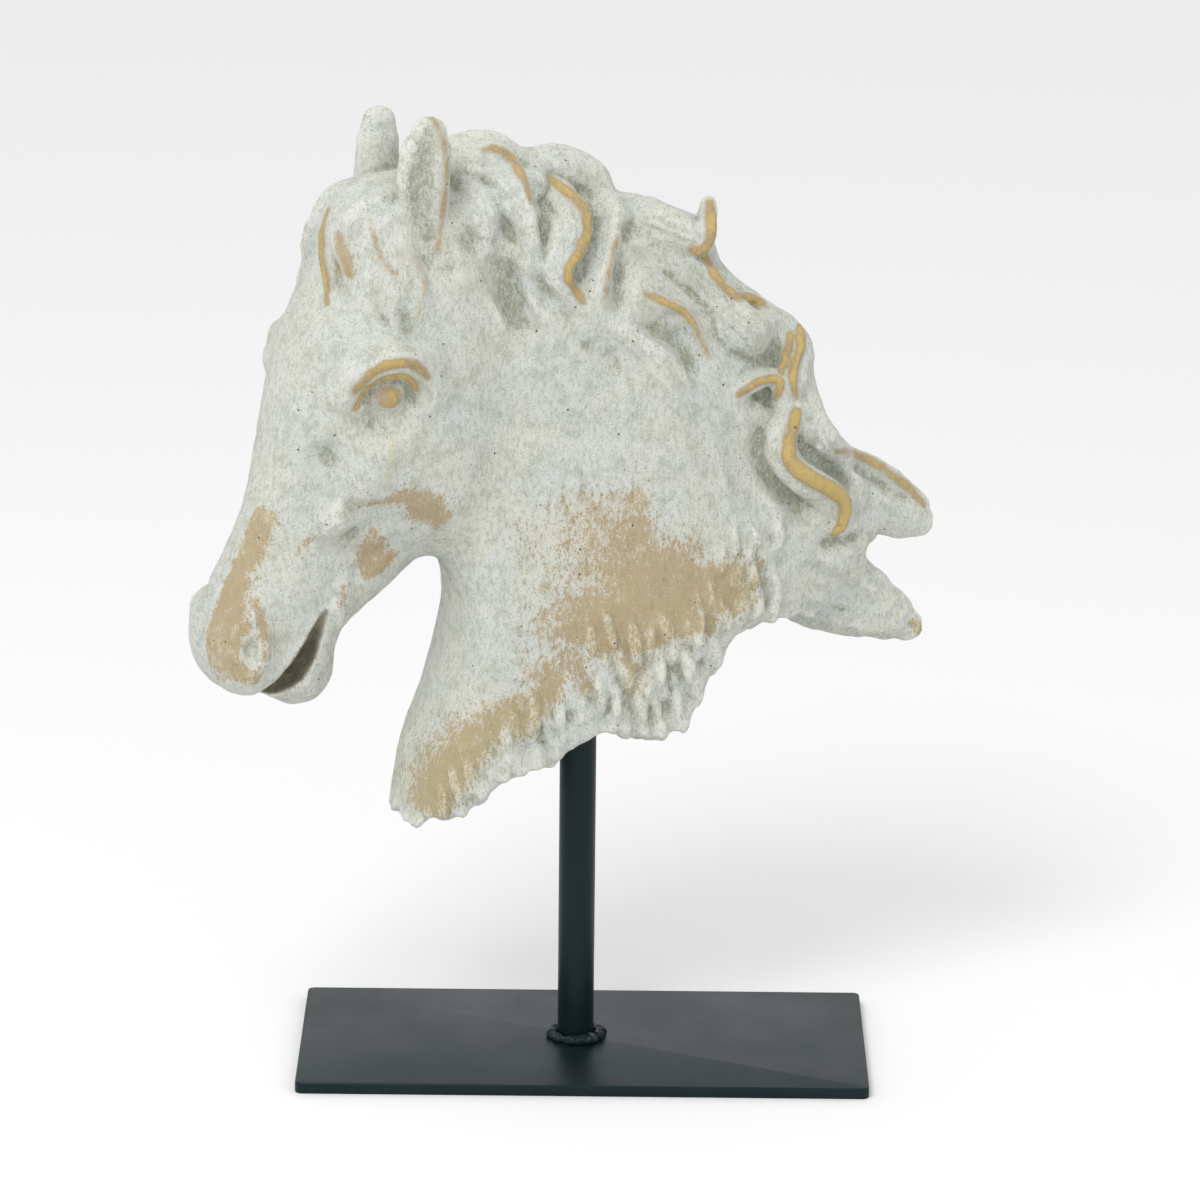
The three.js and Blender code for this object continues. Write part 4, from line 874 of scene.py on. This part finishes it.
class Paint:
    """A material's nodes, laid out in the order they are mixed."""

    def __init__(self, name):
        self.material = bpy.data.materials.new(name)
        self.material.use_nodes = True
        self.nodes, self.links = self.material.node_tree.nodes, self.material.node_tree.links
        self.shader = self.nodes["Principled BSDF"]
        self.place = self.nodes.new("ShaderNodeTexCoord").outputs["Object"]

    def join(self, source, target):
        """Links a node to a socket, or sets the socket to a number or a colour."""
        if isinstance(source, (int, float)):
            target.default_value = source
        elif isinstance(source, tuple):
            target.default_value = (*source, 1) if len(source) == 3 else source
        else:
            self.links.new(source, target)

    def mask(self, name):
        node = self.nodes.new("ShaderNodeAttribute")
        node.attribute_name = name
        return node.outputs["Fac"]

    def noise(self, size_mm, detail=4.0, rough=0.55, stretch=(1, 1, 1), seed=0.0):
        node = self.nodes.new("ShaderNodeTexNoise")
        shift = self.nodes.new("ShaderNodeMapping")
        self.join(self.place, shift.inputs["Vector"])
        shift.inputs["Location"].default_value = (seed, seed * 0.7, -seed)
        shift.inputs["Scale"].default_value = stretch
        self.join(shift.outputs["Vector"], node.inputs["Vector"])
        node.inputs["Scale"].default_value = 1 / (size_mm * MM)
        node.inputs["Detail"].default_value = detail
        node.inputs["Roughness"].default_value = rough
        return node.outputs["Fac"]

    def cells(self, size_mm, seed=0.0):
        node = self.nodes.new("ShaderNodeTexVoronoi")
        shift = self.nodes.new("ShaderNodeMapping")
        self.join(self.place, shift.inputs["Vector"])
        shift.inputs["Location"].default_value = (seed, -seed, seed * 0.3)
        self.join(shift.outputs["Vector"], node.inputs["Vector"])
        node.inputs["Scale"].default_value = 1 / (size_mm * MM)
        return node.outputs["Distance"]

    def sums(self, how, a, b):
        node = self.nodes.new("ShaderNodeMath")
        node.operation = how
        self.join(a, node.inputs[0])
        self.join(b, node.inputs[1])
        return node.outputs[0]

    def spread(self, *noises):
        """A weighted sum of noises, stretched so that it runs from about 0 to 1."""
        stretch = 4.2
        total = None
        for noise, share in noises:
            part = self.sums("MULTIPLY", self.sums("SUBTRACT", noise, 0.5), share * stretch)
            total = part if total is None else self.sums("ADD", total, part)
        return self.sums("ADD", total, 0.5)

    def step(self, value, low, high, to_low=0.0, to_high=1.0):
        """A smooth step from to_low, where the value is low, to to_high, where it is high."""
        node = self.nodes.new("ShaderNodeMapRange")
        node.interpolation_type = "SMOOTHSTEP"
        self.join(value, node.inputs["Value"])
        for name, v in (("From Min", low), ("From Max", high), ("To Min", to_low), ("To Max", to_high)):
            node.inputs[name].default_value = v
        return node.outputs["Result"]

    def mix(self, share, a, b):
        node = self.nodes.new("ShaderNodeMix")
        node.data_type = "RGBA"
        self.join(share, node.inputs[0])
        self.join(a, node.inputs[6])
        self.join(b, node.inputs[7])
        return node.outputs[2]

    def relief(self, height, depth_mm):
        node = self.nodes.new("ShaderNodeBump")
        node.inputs["Distance"].default_value = depth_mm * MM
        self.join(height, node.inputs["Height"])
        return node.outputs["Normal"]


# Colours of the finish, in linear light
# The third chalk is the cleaner chalk of ridges, lightened further as painted highlight.
COOL_CHALK, WARM_CHALK, RIDGE_CHALK_AND_HIGHLIGHT = (0.60, 0.63, 0.595), (0.635, 0.64, 0.57), (0.71, 0.71, 0.655)
MOTTLED_GREY, BRUSHED_GREY, DARK_SPECK = (0.42, 0.445, 0.37), (0.37, 0.39, 0.31), (0.22, 0.23, 0.17)
# The hollow colour is the grey-olive patina of the hollows together with painted shade there.
HOLLOW_PATINA_AND_SHADE, YELLOW_SPOT, PIT = (0.27, 0.28, 0.205), (0.60, 0.53, 0.22), (0.05, 0.05, 0.035)
TAN_HAZE, LOW_TAN = (0.50, 0.455, 0.37), (0.42, 0.355, 0.20)
PINK_TAN, WARM_TAN = (0.42, 0.325, 0.20), (0.44, 0.355, 0.21)
# The tan crest colour is lighter tan on ridges, partly painted highlight.
SCUFFED_TAN, TAN_CREST_AND_HIGHLIGHT = (0.28, 0.21, 0.125), (0.66, 0.62, 0.47)
# The brown edge colour is brown underpaint round the gold lines, with painted shade beside the raised
# lines.
GOLD_HAZE, BROWN_EDGE_AND_SHADE, GOLD = (0.49, 0.44, 0.335), (0.37, 0.27, 0.135), (0.59, 0.425, 0.145)
# The two mouth colours are painted shade in the mouth's gap.
MOUTH_SHADE_BROWN, MOUTH_SHADE_DARK = (0.20, 0.175, 0.115), (0.13, 0.115, 0.07)
COAT_BLACK, COAT_SMUDGE, DUST = (0.0025, 0.009, 0.010), (0.006, 0.013, 0.0145), (0.12, 0.13, 0.13)
COAT_SHINE = (0.74, 0.97, 1.0, 1)


def chalk_paint():
    """Off-white chalk paint over tan and gold, worn through on edges, with grey patina and painted shade in
    the hollows, painted highlight on ridges, painted shade beside the gold lines and in the mouth.
    """
    p = Paint("distressed_chalk_paint")
    cloud = p.noise(26, 4, 0.6, seed=1.0)
    mottle = p.noise(7, 5, 0.65, seed=2.0)
    brushed = p.noise(2.1, 4, 0.7, stretch=(1.4, 1.4, 0.65), seed=4.0)
    grain = p.noise(0.8, 3, 0.7, seed=3.0)
    dapple = p.spread((mottle, 0.25), (brushed, 0.5), (grain, 0.45))

    chalk = p.mix(p.step(cloud, 0.38, 0.62), COOL_CHALK, WARM_CHALK)
    chalk = p.mix(p.step(mottle, 0.47, 0.66, 0, 0.6), chalk, MOTTLED_GREY)
    chalk = p.mix(p.step(brushed, 0.46, 0.66, 0, 0.6), chalk, BRUSHED_GREY)
    chalk = p.mix(p.step(grain, 0.56, 0.68, 0, 0.7), chalk, DARK_SPECK)
    # Painted highlight with cleaner chalk: lighter chalk on ridges.
    ridge_chalk_and_highlight_share = p.sums("MULTIPLY", p.mask("ridge"), p.step(dapple, 0.3, 0.9, 0.85, 0.1))
    chalk = p.mix(ridge_chalk_and_highlight_share, chalk, RIDGE_CHALK_AND_HIGHLIGHT)
    # Painted shade with patina: the hollows' share of the darker olive colour.
    hollow_patina_and_shade_share = p.sums("MULTIPLY", p.mask("hollow"), p.step(dapple, 0.1, 0.9, 0.35, 1.0))
    colour = p.mix(p.step(hollow_patina_and_shade_share, 0.0, 0.9, 0, 0.8), chalk, HOLLOW_PATINA_AND_SHADE)
    stain = p.sums("MULTIPLY", p.mask("stain"), p.step(dapple, 0.3, 0.8, 0.6, 0.1))
    colour = p.mix(stain, colour, YELLOW_SPOT)

    patch = p.mask("tan")
    colour = p.mix(p.step(patch, 0.05, 0.8, 0, 0.45), colour, TAN_HAZE)
    cover = p.sums("ADD", p.sums("MULTIPLY", patch, 1.25),
                   p.sums("MULTIPLY", p.sums("SUBTRACT", dapple, 0.5), 1.35))
    tan = p.mix(p.step(cloud, 0.35, 0.65), PINK_TAN, WARM_TAN)
    tan = p.mix(p.mask("low"), tan, LOW_TAN)
    tan = p.mix(p.step(dapple, 0.7, 1.1, 0, 0.6), tan, SCUFFED_TAN)
    # Painted highlight with worn tan: lighter tan on crests.
    crest = p.sums("MULTIPLY", p.mask("ridge"), p.step(dapple, 0.3, 0.7, 0.8, 0.0))
    tan = p.mix(crest, tan, TAN_CREST_AND_HIGHLIGHT)
    cover = p.sums("MULTIPLY", p.step(cover, 0.35, 0.85, 0, 0.95), p.step(patch, 0.0, 0.12))
    colour = p.mix(cover, colour, tan)

    gilt = p.mask("gilt")
    colour = p.mix(p.step(gilt, 0.0, 0.5, 0, 0.4), colour, GOLD_HAZE)
    worn = p.sums("SUBTRACT", gilt, p.sums("MULTIPLY", p.sums("SUBTRACT", dapple, 0.5), 0.45))
    dull = p.step(p.noise(9, 3, 0.6, seed=8.0), 0.38, 0.62, 0, 0.45)
    chipped = p.sums("SUBTRACT", worn, p.sums("MULTIPLY", dull, 0.5))
    # Brown border of the gold lines: brown underpaint, and painted shade beside them.
    edge = p.sums("MULTIPLY", p.step(chipped, 0.1, 0.62, 0, 0.9), p.step(gilt, 0.0, 0.2))
    colour = p.mix(edge, colour, BROWN_EDGE_AND_SHADE)
    bright = p.step(p.sums("SUBTRACT", worn, dull), 0.35, 0.9, 0, 0.9)
    colour = p.mix(bright, colour, GOLD)

    # Painted shade in the mouth's gap: dark brown on its walls.
    inner = p.mix(p.step(mottle, 0.4, 0.6), MOUTH_SHADE_BROWN, MOUTH_SHADE_DARK)
    colour = p.mix(p.sums("MULTIPLY", p.mask("mouth"), 0.85), colour, inner)
    pits = p.step(p.cells(5.5, 1.0), 0.05, 0.10, 1, 0)
    holes = p.sums("MULTIPLY", pits, p.step(p.noise(9, 2, 0.5, seed=6.0), 0.54, 0.58))
    colour = p.mix(p.sums("MULTIPLY", holes, 0.9), colour, PIT)
    p.join(colour, p.shader.inputs["Base Color"])
    p.join(p.step(bright, 0, 1, 0.9, 0.45), p.shader.inputs["Roughness"])
    p.join(p.sums("MULTIPLY", bright, 0.2), p.shader.inputs["Metallic"])
    height = p.sums("ADD", p.sums("MULTIPLY", grain, 0.5), p.sums("MULTIPLY", dapple, 0.25))
    height = p.sums("SUBTRACT", height, p.sums("MULTIPLY", holes, 1.2))
    p.join(p.relief(height, 0.8), p.shader.inputs["Normal"])
    return p.material


def powder_coat():
    """Satin black powder coat with its fine orange peel and faint handling smudges."""
    p = Paint("satin_black_powder_coat")
    smudge = p.noise(60, 4, 0.6, seed=1.0)
    peel = p.noise(0.7, 3, 0.6, seed=2.0)
    colour = p.mix(p.step(smudge, 0.35, 0.7), COAT_BLACK, COAT_SMUDGE)
    dust = p.step(p.noise(0.5, 2, 0.5, seed=3.0), 0.74, 0.8, 0, 0.4)
    p.join(p.mix(dust, colour, DUST), p.shader.inputs["Base Color"])
    p.join(p.step(smudge, 0.3, 0.7, 0.34, 0.44), p.shader.inputs["Roughness"])
    p.shader.inputs["Specular IOR Level"].default_value = 0.25
    p.shader.inputs["Specular Tint"].default_value = COAT_SHINE
    p.join(p.relief(peel, 0.05), p.shader.inputs["Normal"])
    return p.material


def wear(obj, material):
    """Gives a piece its finish and sets it on the part's one body."""
    obj.data.materials.clear()
    obj.data.materials.append(material)
    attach(obj, "root")


# The steel stand

def select_edges(obj, test):
    """Selects in edit mode the edges whose two ends pass the test."""
    bpy.ops.object.mode_set(mode="EDIT")
    bpy.ops.mesh.select_mode(type="EDGE")
    bpy.ops.mesh.select_all(action="DESELECT")
    work = bmesh.from_edit_mesh(obj.data)
    for edge in work.edges:
        a, b = (v.co for v in edge.verts)
        edge.select_set(test(a, b))
    bmesh.update_edit_mesh(obj.data)


def settle(obj):
    """Puts a piece's place into its mesh and leaves its object at the origin."""
    pick(obj)
    bpy.ops.object.transform_apply(location=True, rotation=True, scale=True)


def build_plate():
    centre, size = (PLATE_LOW + PLATE_HIGH) / 2, PLATE_HIGH - PLATE_LOW
    bpy.ops.object.select_all(action="DESELECT")
    bpy.ops.mesh.primitive_cube_add(size=1, location=centre, scale=size)
    plate = bpy.context.object
    plate.name = "plate"
    settle(plate)
    select_edges(plate, lambda a, b: abs(a.z - b.z) > size.z / 2)
    bpy.ops.mesh.bevel(offset=PLATE_CORNER, segments=6, affect="EDGES")
    select_edges(plate, lambda a, b: abs(a.z - b.z) < NEARLY_ZERO)
    bpy.ops.mesh.bevel(offset=PLATE_EDGE_BREAK, segments=3, affect="EDGES")
    bpy.ops.object.mode_set(mode="OBJECT")
    bpy.ops.object.shade_smooth_by_angle(angle=math.radians(40))
    return plate


def build_post():
    bpy.ops.object.select_all(action="DESELECT")
    middle = (POST_LOW.z + POST_HIGH.z) / 2
    bpy.ops.mesh.primitive_cylinder_add(vertices=96, radius=POST_RADIUS, depth=POST_HIGH.z - POST_LOW.z,
                                        location=(POST_AXIS.x, POST_AXIS.y, middle))
    post = bpy.context.object
    post.name = "round_post"
    settle(post)
    select_edges(post, lambda a, b: abs(a.z - b.z) < NEARLY_ZERO and a.z > middle)
    bpy.ops.mesh.bevel(offset=POST_EDGE_BREAK, segments=2, affect="EDGES")
    bpy.ops.object.mode_set(mode="OBJECT")
    bpy.ops.object.shade_smooth_by_angle(angle=math.radians(40))
    return post


def build_weld():
    """A hand-laid bead round the post's foot, with a heavier lump at the front right."""
    inner = POST_RADIUS + WELD_GAP
    minor = 0.62 * WELD_LEG
    bpy.ops.object.select_all(action="DESELECT")
    bpy.ops.mesh.primitive_torus_add(major_segments=120, minor_segments=20, major_radius=inner + minor,
                                     minor_radius=minor, location=(0, 0, 0))
    weld = bpy.context.object
    weld.name = "weld"
    mesh = weld.data
    co = coordinates(mesh)
    angle = np.arctan2(co[:, 1], co[:, 0])
    out = np.hypot(co[:, 0], co[:, 1]) - inner
    up = co[:, 2] + minor * 0.35
    heavy = np.maximum(0, np.cos(angle + 0.9))
    swell = 0.82 + 0.18 * np.sin(7 * angle) * np.cos(3 * angle) + 0.3 * heavy
    knobs = 0.35 * MM * ripple(co / MM, 3.0, 5)
    out = np.maximum(0, out * swell + knobs * (out > 0.3 * minor))
    up = np.maximum(0, up * swell * 1.15 + knobs)
    co = np.stack([(inner + out) * np.cos(angle), (inner + out) * np.sin(angle), up], 1)
    co += [POST_AXIS.x, POST_AXIS.y, WELD_LOW.z]
    co[:, 2] = np.minimum(co[:, 2], WELD_HIGH.z)
    mesh.vertices.foreach_set("co", co.astype(np.float32).ravel())
    mesh.update()
    pick(weld)
    bpy.ops.object.shade_smooth()
    return weld


# Floor, light and camera

FLOOR_SIZE = 14
FLOOR_GREY = (0.86, 0.86, 0.86)
DAYLIGHT = 0.92
LIT_PLACE = Vector((0, 0, 0.25))
LIGHTS = (("key", (-0.7, -1.3, 1.9), 0.8, 22), ("fill", (2.0, -1.4, 1.0), 1.8, 1.5))  # place, size, watts
CAMERA_PLACE = (0.00566, -2.45494, 0.93988)
CAMERA_PITCH, CAMERA_ROLL = math.radians(16.61), math.radians(0.58)
CAMERA_LENS, CAMERA_FILM = 176.87, 36


def build_stage():
    bpy.ops.object.select_all(action="DESELECT")
    bpy.ops.mesh.primitive_plane_add(size=FLOOR_SIZE, location=(0, 0, 0))
    floor = bpy.context.object
    floor.name = "floor"
    paper = Paint("pale_floor")
    paper.join(FLOOR_GREY, paper.shader.inputs["Base Color"])
    paper.shader.inputs["Roughness"].default_value = 0.9
    floor.data.materials.append(paper.material)
    world = bpy.data.worlds.new("studio")
    world.use_nodes = True
    sky = world.node_tree.nodes["Background"]
    sky.inputs["Color"].default_value = (1, 1, 1, 1)
    sky.inputs["Strength"].default_value = DAYLIGHT
    bpy.context.scene.world = world


def add_light(name, place, size, power):
    light = bpy.data.lights.new(name, "AREA")
    light.shape = "SQUARE"
    light.size, light.energy = size, power
    obj = bpy.data.objects.new(name, light)
    bpy.context.scene.collection.objects.link(obj)
    obj.location = place
    aim = LIT_PLACE - Vector(place)
    obj.rotation_euler = aim.to_track_quat("-Z", "Y").to_euler()


def add_camera():
    camera = bpy.data.cameras.new("camera")
    camera.sensor_width = CAMERA_FILM
    camera.lens = CAMERA_LENS
    obj = bpy.data.objects.new("camera", camera)
    bpy.context.scene.collection.objects.link(obj)
    turn = Matrix.Rotation(math.pi / 2 - CAMERA_PITCH, 4, "X") @ Matrix.Rotation(CAMERA_ROLL, 4, "Z")
    obj.matrix_world = Matrix.Translation(CAMERA_PLACE) @ turn
    bpy.context.scene.camera = obj


bpy.context.scene.view_settings.view_transform = "Standard"
add_camera()
build_stage()
for light in LIGHTS:
    add_light(*light)

chalk, coat = chalk_paint(), powder_coat()
horse = build_horse()
wear(horse, chalk)
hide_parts("horse_head")
for built, node in ((build_plate(), "base_plate"), (build_post(), "post"), (build_weld(), "weld_bead")):
    wear(built, coat)
    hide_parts(node)
